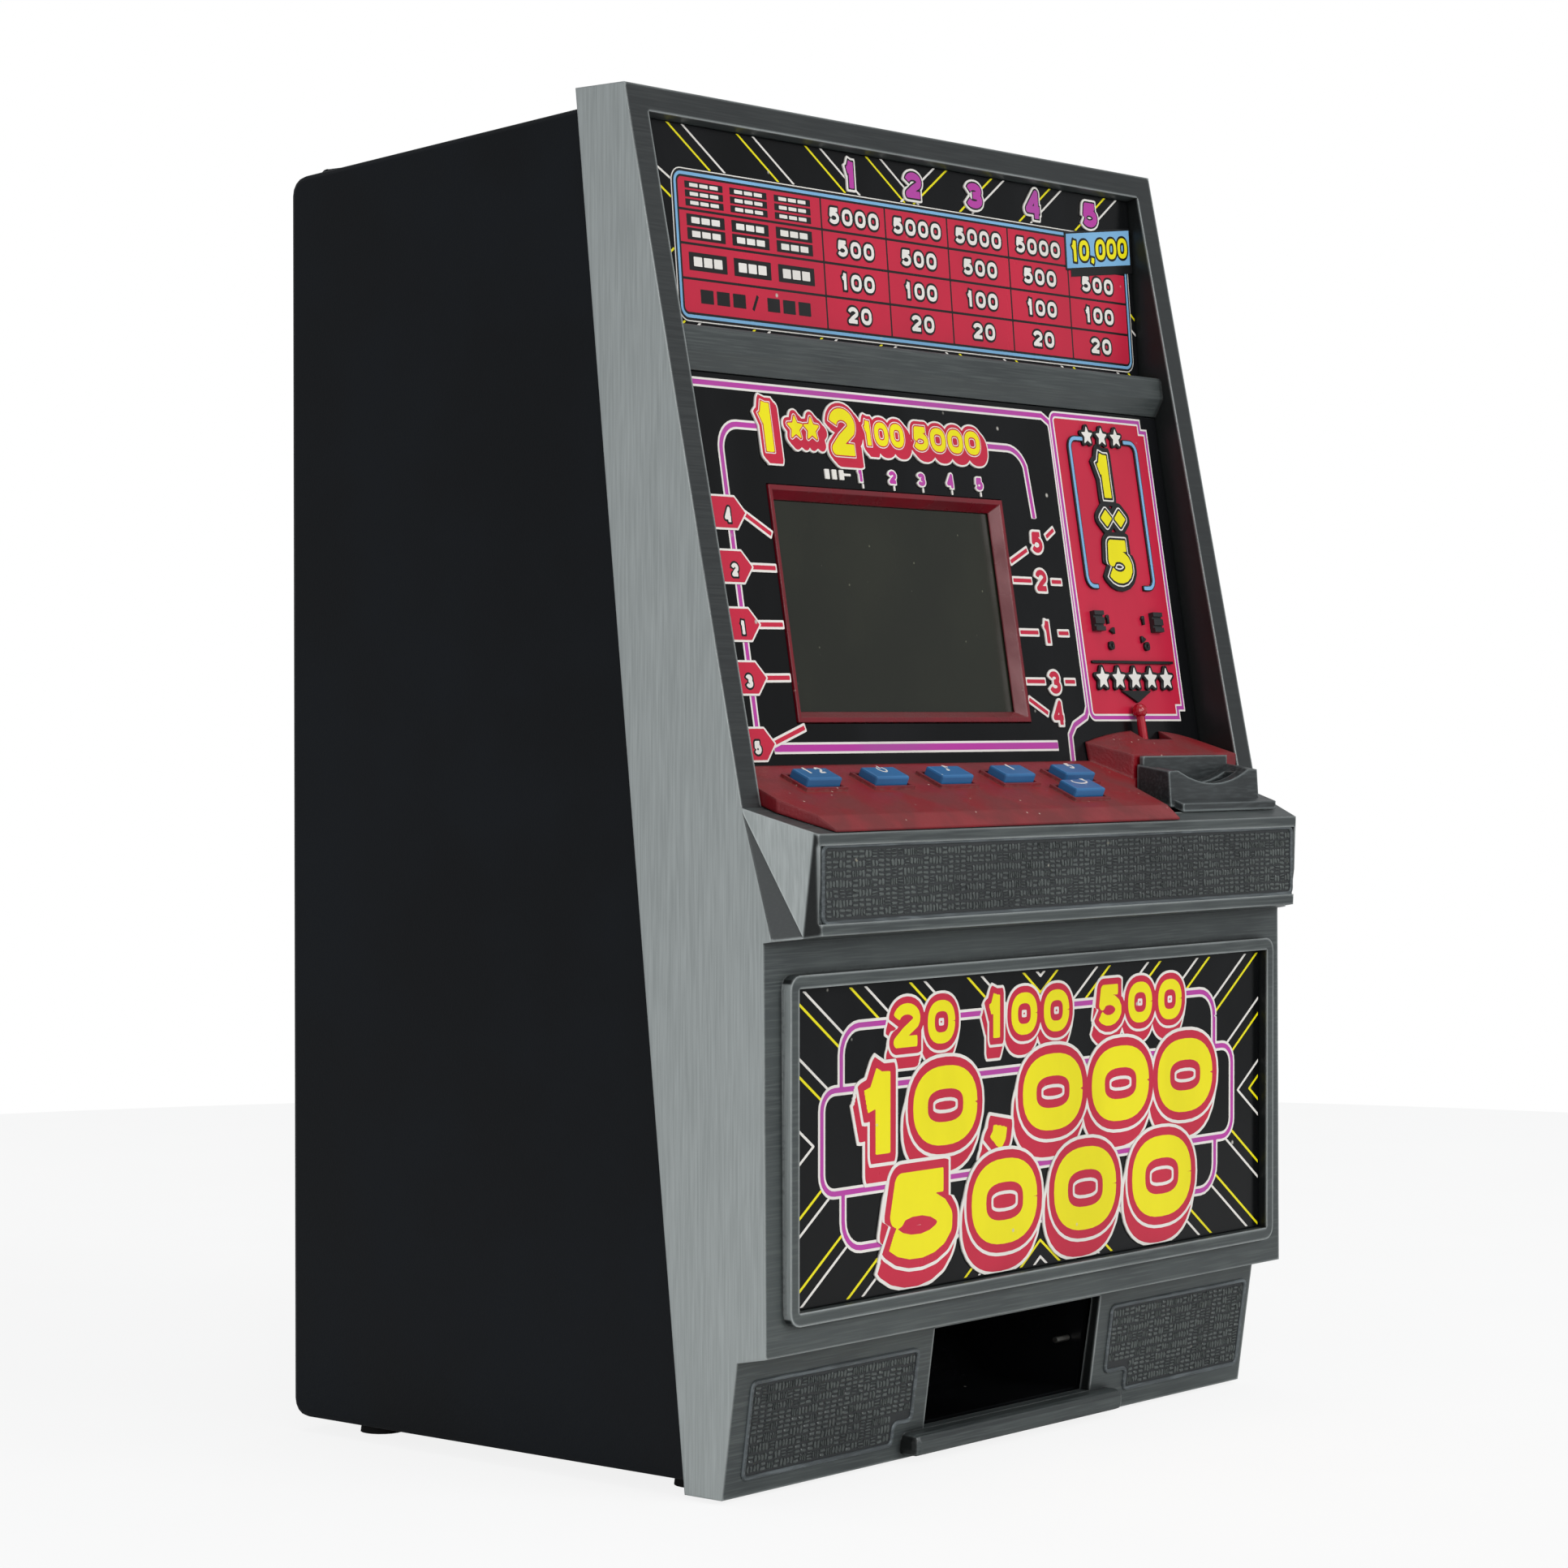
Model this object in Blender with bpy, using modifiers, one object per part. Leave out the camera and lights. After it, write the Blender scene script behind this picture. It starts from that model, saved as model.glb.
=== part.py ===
# Toy slot machine and coin bank: casings, signs, buttons, coin path, payout gate and battery bay.
# Sizes are in millimetres and the helpers turn them into metres.
# Each piece stands in one of three frames: BASE (side view: forward from the back plane, up from the
# frame's bottom edge), PANEL (the leaning lip plane: right, up the slope, out) and DECK (button deck).
import math

import bmesh
import bpy
from mathutils import Matrix, Vector

MM = 0.001
GAP = 0.3                      # clearance between pieces that touch
RUN = 0.4                      # clearance around pieces that move

# Overall size
WIDTH = 192.3
DEPTH = 150.7
HEIGHT = 295.0
FOOT_DROP = 0.7                # feet reach this far below the frame's bottom edge

# Front frame, side view: forward distances and heights of its corners
CROWN_F = 103.2
BELLY_F = 141.4
BELLY_TOP = 115.6
BELLY_FOOT_F = 142.0
BELLY_FOOT = 30.4
KICK_TOP_F = 134.3
KICK_TOP = 28.9
KICK_FOOT_F = 130.2
BACK_TOP_F = 89.3
BACK_FOOT_F = 120.0
WALL = 2.4
LIP = 6.4                      # width of the frame's pillars
LIP_TOP = 5.7                  # width of the frame's crown
PILLAR_DEPTH = 10.7
SHELF = 135.0                  # the belly's top shelf starts this far forward

# Armrest bump under the button deck
BUMP_UNDER = 117.0
BUMP_TOP = 137.9
BUMP_RISE = 0.345              # slope of the bump's top, rise per forward distance
BUMP_CHAMFER = 5.75
CHAMFER_TOP_F = 138.9
CHAMFER_FOOT_F = 144.7
CHAMFER_RISE = 141.8
STRIP_HALF = WIDTH / 2 - 7.15
STRIP_LOW = 119.4
STRIP_HIGH = 135.5
STRIP_DEPTH = 0.6

# Signs and panels; distances down the slope start at the crown, and what belongs to the game panel
# is placed up from the panel's foot, which stays with the button deck
SLOPE = math.hypot(BELLY_F - CROWN_F, HEIGHT - BELLY_TOP)
PANEL_FOOT = SLOPE - 37.92
PANEL_PIVOT = PANEL_FOOT - 40.5
SIGN_TOP_RECESS = 3.0
SIGN_FALL = 0.128              # the payout sign sinks this much per distance down the slope
SIGN_FOOT = 52.0               # drawn this long, then trimmed to the bar
SHEET = 2.0                    # thickness of the printed panels
BAR_TOP = 49.9
BAR_FOOT = 59.8
PANEL_RECESS = 8.0             # depth of the game panel at its pivot line
PANEL_TILT = math.radians(2.46)  # the panel stands steeper than the lip plane
MAIN_BOARD_DEPTH = 20.0
BOARD_LEFT = -86.0
BOARD_RIGHT = 40.0
POST_X = (-80.0, 34.0)
POST_RISE = 77.5               # the posts stand this far above the panel's foot
BELLY_SIGN_HALF = WIDTH / 2 - 8.55
BELLY_SIGN_LOW = 39.1
BELLY_SIGN_HIGH = 105.9
RIM = 2.8
RIM_PROUD = 2.6
RIM_CORNER = 3.0
SIGN_LEDGE = 3.6

# Display
LCD_LEFT = -62.2
LCD_RIGHT = 21.3
LCD_TOP = PANEL_FOOT - 61.9
LCD_FOOT = PANEL_FOOT - 10.0
BEZEL_FLAT = 1.05              # flat rim round the display
BEZEL_SLOPE = 1.7              # width of the wall that slopes down to the window
BEZEL_PROUD = 0.4
BEZEL_FLANGE = 3.0             # hidden flange behind the panel
BEZEL_FLANGE_THICK = 1.2
GLASS = 1.6
GLASS_SUNK = 2.5
GLASS_LAP = 1.5                # the window reaches this far behind the sloping wall

# Slide switches on the game panel
SWITCH_X = (52.5, 76.8)
SWITCH_S = PANEL_FOOT - 32.1
SWITCH_W = 4.6
SWITCH_L = 9.6
SWITCH_TRAVEL = 4.0
KNOB_PROUD = 1.6

# Button deck
DECK_REAR_F = 125.7
DECK_REAR = 150.9
DECK_ANGLE = 23.8
DECK_LENGTH = 23.2
DECK_WALL = 2.2
DECK_RIGHT = 38.5
BUTTON_W = 11.2
BUTTON_L = 5.4
BUTTON_PROUD = 2.5
BUTTON_TRAVEL = 1.2
BUTTON_PITCH = 22.95
BUTTON_FIRST_X = -69.5
BUTTON_ROW_T = 7.8
SPIN_X = 15.6
SPIN_T = 16.1
RING = 0.8                     # raised ring around each button
RING_PROUD = 0.7
BOARD = 1.6                    # circuit board thickness
MEMBRANE_DEPTH = 5.4
REAR_REACH = 1.4               # the deck runs this much further back, up to the panel

# Coin head: red hood behind, grey mouth in front
HOOD_LEFT = 41.2
HOOD_FRONT_LEFT = 46.2         # the hood's left wall closes in towards the mouth
HOOD_RIGHT = WIDTH / 2 - 6.85
HOOD_REAR_TOP = 158.6
HOOD_FRONT_TOP = 152.9
HOOD_FRONT_F = 133.8
HOOD_WALL = 1.8
HOOD_STEPS = 10
HOOD_ARCH = 2.6                # how much higher the hood's rear is in its middle
DECK_END = 41.0                # the deck's front band stops here, left of the mouth
DECK_END_F = 137.9
MOUTH_LEFT = 47.0
MOUTH_RIGHT = 84.0
MOUTH_REAR_F = HOOD_FRONT_F + 0.6
MOUTH_FRONT_F = 143.9
MOUTH_TOP = 150.6
MOUTH_FALL = 1.4               # how much the mouth's top falls to its front edge
MOUTH_BASE = 3.6               # how far the step at the mouth's foot reaches to the right
STEP_DEPTH = 2.4               # and to the front
STEP_HIGH = 2.2
COIN_D = 24.3
COIN_T = 1.8
SLOT_W = COIN_D + 2.4
SLOT_T = COIN_T + 1.2
SLOT_F = 139.05
DISH_R = 36.0
DISH_DEEP = 4.5                # how deep the finger dish round the slot is cut
MOUTH_BACK = 1.0               # wall behind the dish, under the hood's edge

# Coin path and bank
CHUTE_WALL = 1.0
CHUTE_EASE = 0.2
SENSOR_UP = 131.3              # height of the coin switch's lever
CHUTE_BEND = 133.6
CHUTE_FOOT = 101.0
CHUTE_BACK_SHIFT = 18.0
BIN_BACK_F = 62.0
BIN_FRONT_F = 126.0
BIN_HALF = 80.0
BIN_TOP = 96.0
BIN_FLOOR_FRONT = 37.0
BIN_FLOOR_BACK = 60.0
BIN_WALL = 1.8
TRAY_MID = 1.6                 # the tray stands a little right of the middle
TRAY_HALF = 31.2
TRAY_LOW = 5.8
TRAY_HIGH = 28.1
LIP_REACH = 7.8                # the tray's front lip runs on past the mouth
LIP_PROUD = 5.2
TRAY_BACK_F = 88.0
TRAY_FLOOR = 6.3
TRAY_WALL = 1.6
STOP_F = 125.0
STOP_UP = 17.5

# Payout works: lever, rod and gate
LEVER_X = 63.0
LEVER_PIVOT = 139.5            # height of the lever's pivot
LEVER_UP = 24.0                # pivot to ball
LEVER_SWING = 22.0
LEVER_ARM = 16.0
LEVER_AHEAD = 2.0              # stem centre ahead of the game panel
BALL_R = 1.8
GATE_HINGE_F = 122.0
GATE_HINGE = 35.4
GATE_LENGTH = 30.0
GATE_ARM = 9.0
ROD_AHEAD = 6.0               # the pull rod lifts the gate's crank this far from the hinge
GATE_THICK = 1.6
GATE_HALF = 26.0
PIN_R = 1.2
ROD_X = LEVER_X - LEVER_ARM    # the gate pin's crank stands under the lever's arm
ROD_R = 0.8
SHAFT_X = ROD_X + 2.3          # the rod itself runs down in front of the cranks
SHAFT_F = GATE_HINGE_F + 8.4
CRANK_HALF = 1.0
CRANK_ROOM = 1.0               # free space at each side of the crank in the bin's corner
CRANK_RISE = 7.0               # and above the hinge, for its swing

# Rear body, door and its hinge
BODY_INSET = 1.0
BODY_LOW = 2.5
ROOF_FRONT = HEIGHT - 3.9
ROOF_BACK = HEIGHT - 11.1
BODY_ROUND = 4.0               # rounding of the back's top and bottom edges
SIDE_ROUND = 1.2               # and of the side walls' edges
DOOR_HALF = 80.0
DOOR_LOW = 9.0
DOOR_HIGH = HEIGHT - 19.0
DOOR_THICK = 2.2
HINGE_F = 4.0
HINGE_Z = ROOF_BACK
KNUCKLE_R = 2.6
LUG_END_F = 11.0
LUG_OUT = WIDTH / 2 - 8.45
LUG_IN = 76.5
EAR = 4.5

# Battery bay and speaker
CELL_D = 14.2
CELL_L = 50.5
CELL_PITCH = 15.6
BAY_X = -34.0
BAY_FRONT_F = 80.0
COVER = 1.2
COVER_TRAVEL = 10.0
SPEAKER_X = 46.0
SPEAKER_F = 36.0
SPEAKER_R = 20.0

# Feet and screws
FOOT_R = 5.0
FOOT_H = 2.9
FOOT_X = (13.15 - WIDTH / 2, WIDTH / 2 - 13.15)
FOOT_F = (16.5, 112.0)
SCREW_R = 1.3
HEAD_R = 2.8
BOSS_R = 3.6
BOSS_X = WIDTH / 2 - 6.75
BOSS_Z = (16.0, HEIGHT - 12.0)
TAB = 3.0

LEAN = math.atan2(BELLY_F - CROWN_F, HEIGHT - BELLY_TOP)

for old in list(bpy.data.objects):
    bpy.data.objects.remove(old, do_unlink=True)

PARTS = bpy.data.collections.new("toy_slot_machine")
TOOLS = bpy.data.collections.new("cutters")
for group in (PARTS, TOOLS):
    bpy.context.scene.collection.children.link(group)


def empty(name, parent, place, tilt):
    axes = bpy.data.objects.new(name, None)
    axes.empty_display_size = 10 * MM
    TOOLS.objects.link(axes)
    axes.parent = parent
    axes.location = Vector(place) * MM
    axes.rotation_euler.x = tilt
    return axes


BASE = empty("base", None, (0, DEPTH / 2, FOOT_DROP), 0.0)
PANEL = empty("panel_plane", BASE, (0, -CROWN_F, HEIGHT), math.pi / 2 - LEAN)
# the game panel's own frame turns about its pivot line, so that the same distances hold on it
PIVOT = empty("pivot_line", PANEL, (0, -PANEL_PIVOT, -PANEL_RECESS), PANEL_TILT)
GAME = empty("game_plane", PIVOT, (0, PANEL_PIVOT, PANEL_RECESS), 0.0)
DECK = empty("deck_plane", BASE, (0, -DECK_REAR_F, DECK_REAR), math.radians(DECK_ANGLE))


def finish(name, color, roughness, metallic=0.0):
    made = bpy.data.materials.new(name)
    made.use_nodes = True
    made.diffuse_color = (*color, 1.0)
    shader = made.node_tree.nodes["Principled BSDF"]
    shader.inputs["Base Color"].default_value = (*color, 1.0)
    shader.inputs["Roughness"].default_value = roughness
    shader.inputs["Metallic"].default_value = metallic
    return made


BLACK = finish("black_abs", (0.012, 0.013, 0.015), 0.55)
GREY = finish("silver_grey_paint", (0.16, 0.17, 0.18), 0.42, 0.4)
PRINT = finish("printed_panel", (0.02, 0.02, 0.02), 0.15)
RED = finish("red_abs", (0.35, 0.01, 0.02), 0.4)
BLUE = finish("blue_button", (0.03, 0.14, 0.34), 0.35)
SMOKE = finish("display_glass", (0.04, 0.042, 0.03), 0.08)
GREEN = finish("circuit_board", (0.02, 0.12, 0.05), 0.45)
STEEL = finish("steel", (0.55, 0.55, 0.55), 0.3, 1.0)
RUBBER = finish("rubber", (0.02, 0.02, 0.02), 0.85)
CELL = finish("battery_wrap", (0.06, 0.06, 0.07), 0.35)
PAPER = finish("speaker_cone", (0.05, 0.05, 0.05), 0.9)


def place(name, mesh, look, frame, matrix):
    # a piece when it has a look, otherwise a cutter
    piece = bpy.data.objects.new(name, mesh)
    (PARTS if look else TOOLS).objects.link(piece)
    piece.parent = frame
    piece.matrix_basis = matrix
    if look:
        mesh.materials.append(look)
    else:
        piece.hide_render = True
        piece.display_type = 'WIRE'
    return piece


def block(name, low, high, look=None, frame=BASE, bevel=0.0):
    size = (Vector(high) - Vector(low)) * MM
    middle = (Vector(high) + Vector(low)) / 2 * MM
    bm = bmesh.new()
    bmesh.ops.create_cube(bm, size=1.0)
    bmesh.ops.scale(bm, vec=size, verts=bm.verts)
    if bevel:
        bmesh.ops.bevel(bm, geom=bm.edges[:], offset=bevel * MM, segments=2, profile=0.5, affect='EDGES')
    mesh = bpy.data.meshes.new(name)
    bm.to_mesh(mesh)
    bm.free()
    return place(name, mesh, look, frame, Matrix.Translation(middle))


def box(name, x, forward, up, look=None, bevel=0.0):
    # a block in the BASE frame, from its spans to the right, forward and up
    low = (x[0], -forward[1], up[0])
    high = (x[1], -forward[0], up[1])
    return block(name, low, high, look, BASE, bevel)


def rod(name, radius, start, end, look=None, frame=BASE, sides=16, end_radius=None):
    start = Vector(start) * MM
    end = Vector(end) * MM
    run = end - start
    bm = bmesh.new()
    tip = radius if end_radius is None else end_radius
    bmesh.ops.create_cone(bm, cap_ends=True, segments=sides, radius1=radius * MM, radius2=tip * MM,
                          depth=run.length)
    mesh = bpy.data.meshes.new(name)
    bm.to_mesh(mesh)
    bm.free()
    turn = run.to_track_quat('Z', 'Y').to_matrix().to_4x4()
    piece = place(name, mesh, look, frame, Matrix.Translation((start + end) / 2) @ turn)
    mesh.shade_smooth()
    mesh.set_sharp_from_angle(angle=math.radians(50))
    return piece


def ball(name, radius, centre, look=None, frame=BASE):
    bm = bmesh.new()
    bmesh.ops.create_uvsphere(bm, u_segments=14, v_segments=9, radius=radius * MM)
    mesh = bpy.data.meshes.new(name)
    bm.to_mesh(mesh)
    bm.free()
    mesh.shade_smooth()
    return place(name, mesh, look, frame, Matrix.Translation(Vector(centre) * MM))


def outline(name, points, thickness, look, frame, matrix):
    # a flat outline given thickness, half to each side of its own plane
    curve = bpy.data.curves.new(name, 'CURVE')
    curve.dimensions = '2D'
    curve.fill_mode = 'BOTH'
    curve.extrude = thickness / 2 * MM
    spline = curve.splines.new('POLY')
    spline.points.add(len(points) - 1)
    for corner, (across, along) in zip(spline.points, points):
        corner.co = (across * MM, along * MM, 0.0, 1.0)
    spline.use_cyclic_u = True
    guide = bpy.data.objects.new(name, curve)
    TOOLS.objects.link(guide)
    graph = bpy.context.evaluated_depsgraph_get()
    mesh = bpy.data.meshes.new_from_object(guide.evaluated_get(graph))
    bpy.data.objects.remove(guide)
    bm = bmesh.new()
    bm.from_mesh(mesh)
    bmesh.ops.remove_doubles(bm, verts=bm.verts, dist=0.001 * MM)
    bmesh.ops.dissolve_limit(bm, angle_limit=0.001, verts=bm.verts, edges=bm.edges)
    bmesh.ops.recalc_face_normals(bm, faces=bm.faces)
    bm.to_mesh(mesh)
    bm.free()
    return place(name, mesh, look, frame, matrix)


def side_profile(name, points, left, right, look=None, frame=BASE):
    # points are (forward, up); the solid runs from left to right
    axes = Matrix(((0, 0, -1, 0), (-1, 0, 0, 0), (0, 1, 0, 0), (0, 0, 0, 1)))
    middle = Matrix.Translation(((left + right) / 2 * MM, 0, 0))
    return outline(name, points, right - left, look, frame, middle @ axes)


def hull(name, points, look=None, frame=BASE):
    bm = bmesh.new()
    for point in points:
        bm.verts.new(Vector(point) * MM)
    bmesh.ops.convex_hull(bm, input=bm.verts)
    mesh = bpy.data.meshes.new(name)
    bm.to_mesh(mesh)
    bm.free()
    return place(name, mesh, look, frame, Matrix.Identity(4))


def prism(name, points, low, high):
    # an upright cutter from its plan, seen from above
    return hull(name, [(across, back, level) for across, back in points for level in (low, high)])


def rounded(left, right, low, high, radius, steps=4):
    points = []
    corners = ((right, high, 0), (left, high, 90), (left, low, 180), (right, low, 270))
    for across, along, start in corners:
        middle_x = across + (radius if across == left else -radius)
        middle_y = along + (radius if along == low else -radius)
        for step in range(steps + 1):
            angle = math.radians(start + 90 * step / steps)
            points.append((middle_x + radius * math.cos(angle), middle_y + radius * math.sin(angle)))
    return points


def combine(piece, operation, tools):
    for tool in tools:
        change = piece.modifiers.new(tool.name, 'BOOLEAN')
        change.operation = operation
        change.object = tool


def cut(piece, *tools):
    combine(piece, 'DIFFERENCE', tools)


def join(piece, *tools):
    combine(piece, 'UNION', tools)


def put_origin(piece, point):
    # moves a piece's origin to a point of its own frame, on its joint's axis
    new = Matrix.Translation(Vector(point) * MM)
    piece.data.transform(new.inverted() @ piece.matrix_basis)
    piece.matrix_basis = new


def on_slope(down, behind):
    # side-view point a distance down the lip plane and behind it
    forward = CROWN_F + down * math.sin(LEAN) - behind * math.cos(LEAN)
    return forward, HEIGHT - down * math.cos(LEAN) - behind * math.sin(LEAN)


def slope_at(height, behind):
    # side-view point of the plane behind the lip at a height
    down = (HEIGHT - height - behind * math.sin(LEAN)) / math.cos(LEAN)
    return on_slope(down, behind)


def on_game(down, behind):
    # side-view point a distance down the game panel's frame and behind its datum
    steep = LEAN - PANEL_TILT
    forward, up = on_slope(PANEL_PIVOT, PANEL_RECESS)
    forward += (down - PANEL_PIVOT) * math.sin(steep) - (behind - PANEL_RECESS) * math.cos(steep)
    return forward, up - (down - PANEL_PIVOT) * math.cos(steep) - (behind - PANEL_RECESS) * math.sin(steep)


def back_edge(height):
    return BACK_TOP_F + (HEIGHT - height) * (BACK_FOOT_F - BACK_TOP_F) / HEIGHT


def bump_top(forward):
    return BUMP_TOP + (DEPTH - forward) * BUMP_RISE


def kick_face(height):
    return KICK_FOOT_F + (KICK_TOP_F - KICK_FOOT_F) * height / KICK_TOP


def front_frame():
    half = WIDTH / 2
    side = ((BACK_FOOT_F, 0), (KICK_FOOT_F, 0), (KICK_TOP_F, KICK_TOP), (BELLY_FOOT_F, BELLY_FOOT),
            (BELLY_F, BELLY_TOP), (CROWN_F, HEIGHT), (BACK_TOP_F, HEIGHT))
    frame = side_profile("front_frame", side, -half, half, GREY)
    bump = side_profile("bump", ((SHELF, BELLY_TOP - 1), (DEPTH, BUMP_UNDER), (DEPTH, BUMP_TOP),
                                 (SHELF, bump_top(SHELF))), -half, half)
    for hand in (-1, 1):
        corners = []
        for height in (DECK_REAR, BELLY_TOP - 12):
            share = (height - BELLY_TOP) / (CHAMFER_RISE - BELLY_TOP)
            rear = CHAMFER_FOOT_F + (CHAMFER_TOP_F - CHAMFER_FOOT_F) * share
            run = rear - DEPTH
            for reach in (1.35, -2.0 / abs(run)):
                corners.append((hand * (half - BUMP_CHAMFER + BUMP_CHAMFER * reach),
                                -(DEPTH + run * reach), height))
            corners.append((hand * (half + 3), -(DEPTH + 3), height))
        cut(bump, hull("bump_chamfer", corners))
    cut(bump, box("strip_seat", (-STRIP_HALF, STRIP_HALF), (DEPTH - STRIP_DEPTH, DEPTH + 2),
                  (STRIP_LOW, STRIP_HIGH)))
    join(frame, bump)
    kick_in = kick_face(0) - WALL - 0.2
    inside = ((60, WALL - 0.2), (kick_in, WALL - 0.2), (kick_face(26) - WALL, 26.5),
              (kick_face(26) - WALL, BELLY_FOOT + WALL), (BELLY_F - WALL, BELLY_FOOT + WALL),
              (BELLY_F - WALL, BELLY_TOP - WALL), (SHELF, BELLY_TOP - WALL), (SHELF, bump_top(SHELF) - WALL),
              on_slope(PANEL_FOOT + 4.5, PILLAR_DEPTH), slope_at(HEIGHT - WALL, PILLAR_DEPTH),
              (60, HEIGHT - WALL))
    cut(frame, side_profile("frame_inside", inside, -half + WALL, half - WALL))
    under = ((SHELF - 8, BUMP_UNDER + WALL), (DEPTH - WALL, BUMP_UNDER + WALL),
             (DEPTH - WALL, BUMP_TOP - WALL), (SHELF - 8, bump_top(SHELF - 8) - WALL))
    flat = half - BUMP_CHAMFER - WALL
    cut(frame, side_profile("bump_inside", under, -flat, flat))
    cut(frame, box("deck_hole", (-flat + 2, flat - 2), (SHELF - 10, DEPTH - 5.2),
                   (BUMP_TOP - 6, DECK_REAR + 6)))
    cut(frame, block("window", (-half + LIP, -(PANEL_FOOT + 4.5), -14), (half - LIP, -LIP_TOP, 6),
                     None, PANEL))
    seat = ((SHELF - 12, bump_top(SHELF - 12) + 0.05), (SHELF + 5, bump_top(SHELF + 5) + 0.05),
            (SHELF + 5, DECK_REAR + 2), (SHELF - 12, DECK_REAR + 2))
    cut(frame, side_profile("deck_seat", seat, -half + LIP, half - LIP))
    root = -PILLAR_DEPTH - 0.4
    bar = ((root, BAR_TOP), (-4.2, BAR_TOP + 0.5), (-3.0, BAR_TOP + 1.0), (-2.6, BAR_TOP + 1.9),
           (-3.0, BAR_FOOT - 3.6), (-6.0, BAR_FOOT), (root, BAR_FOOT))
    turned = [on_slope(down, -out) for out, down in bar]
    join(frame, side_profile("divider_bar", turned, -half + LIP - 0.6, half - LIP + 0.6))
    rim_out = rounded(-BELLY_SIGN_HALF - RIM, BELLY_SIGN_HALF + RIM, BELLY_SIGN_LOW - RIM,
                      BELLY_SIGN_HIGH + RIM, RIM_CORNER)
    spot = Matrix.Translation((0, -(BELLY_F + RIM_PROUD - 2) * MM, 0))
    upright = spot @ Matrix.Rotation(math.pi / 2, 4, 'X')
    join(frame, outline("sign_rim", rim_out, 4.0, None, BASE, upright))
    cut(frame, box("sign_seat", (-BELLY_SIGN_HALF, BELLY_SIGN_HALF), (BELLY_F - 1.2, DEPTH),
                   (BELLY_SIGN_LOW, BELLY_SIGN_HIGH)))
    open_half = BELLY_SIGN_HALF - SIGN_LEDGE
    cut(frame, box("sign_back", (-open_half, open_half), (BELLY_F - 8, DEPTH),
                   (BELLY_SIGN_LOW + SIGN_LEDGE, BELLY_SIGN_HIGH - SIGN_LEDGE)))
    cut(frame, box("tray_mouth", (TRAY_MID - TRAY_HALF, TRAY_MID + TRAY_HALF),
                   (BACK_FOOT_F - 10, BELLY_FOOT_F), (TRAY_LOW, TRAY_HIGH)))
    reach = TRAY_HALF + LIP_REACH
    join(frame, box("tray_lip", (TRAY_MID - reach, TRAY_MID + reach),
                    (KICK_FOOT_F - 1.4, KICK_FOOT_F + LIP_PROUD), (0.9, TRAY_LOW - 0.1), None, 1.5))
    for hand in (-1, 1):
        for height in BOSS_Z:
            start = back_edge(height) + 0.6
            front = slope_at(height, PILLAR_DEPTH - 0.6)[0]
            if height < BELLY_TOP:
                front = kick_face(height) - 1.3
            place_x = hand * BOSS_X
            join(frame, rod("boss", BOSS_R, (place_x, -start, height), (place_x, -front, height)))
            cut(frame, rod("boss_hole", SCREW_R + GAP, (place_x, -start + 1, height),
                           (place_x, -start - 9, height), sides=12))
    cut(frame, lever_slot())
    return frame


def lever_slot():
    # the lever's stem swings in this gap between the game panel and the deck
    reach = (LEVER_UP * 0.75) * math.sin(math.radians(LEVER_SWING))
    low = (LEVER_X - 2.4, -(PANEL_FOOT + 9), -PANEL_RECESS + GAP)
    high = (LEVER_X + reach + 2.4, -(PANEL_FOOT - 12), -PANEL_RECESS + LEVER_AHEAD * 2)
    return block("lever_slot", low, high, None, GAME)


def screws():
    for hand in (-1, 1):
        for height in BOSS_Z:
            side = "left" if hand < 0 else "right"
            name = "frame_screw_%s_%s" % (side, "low" if height < BELLY_TOP else "high")
            back = back_edge(height) - GAP - TAB - GAP
            place_x = hand * BOSS_X
            screw = rod(name, SCREW_R, (place_x, -back + 0.4, height), (place_x, -back - TAB - 8, height),
                        STEEL, sides=10)
            join(screw, rod("screw_head", HEAD_R, (place_x, -back + 1.8, height), (place_x, -back, height),
                            sides=12))
            cut(screw, box("driver_slot", (place_x - 0.4, place_x + 0.4), (back - 2.4, back - 1.0),
                           (height - 3, height + 3)))


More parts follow.
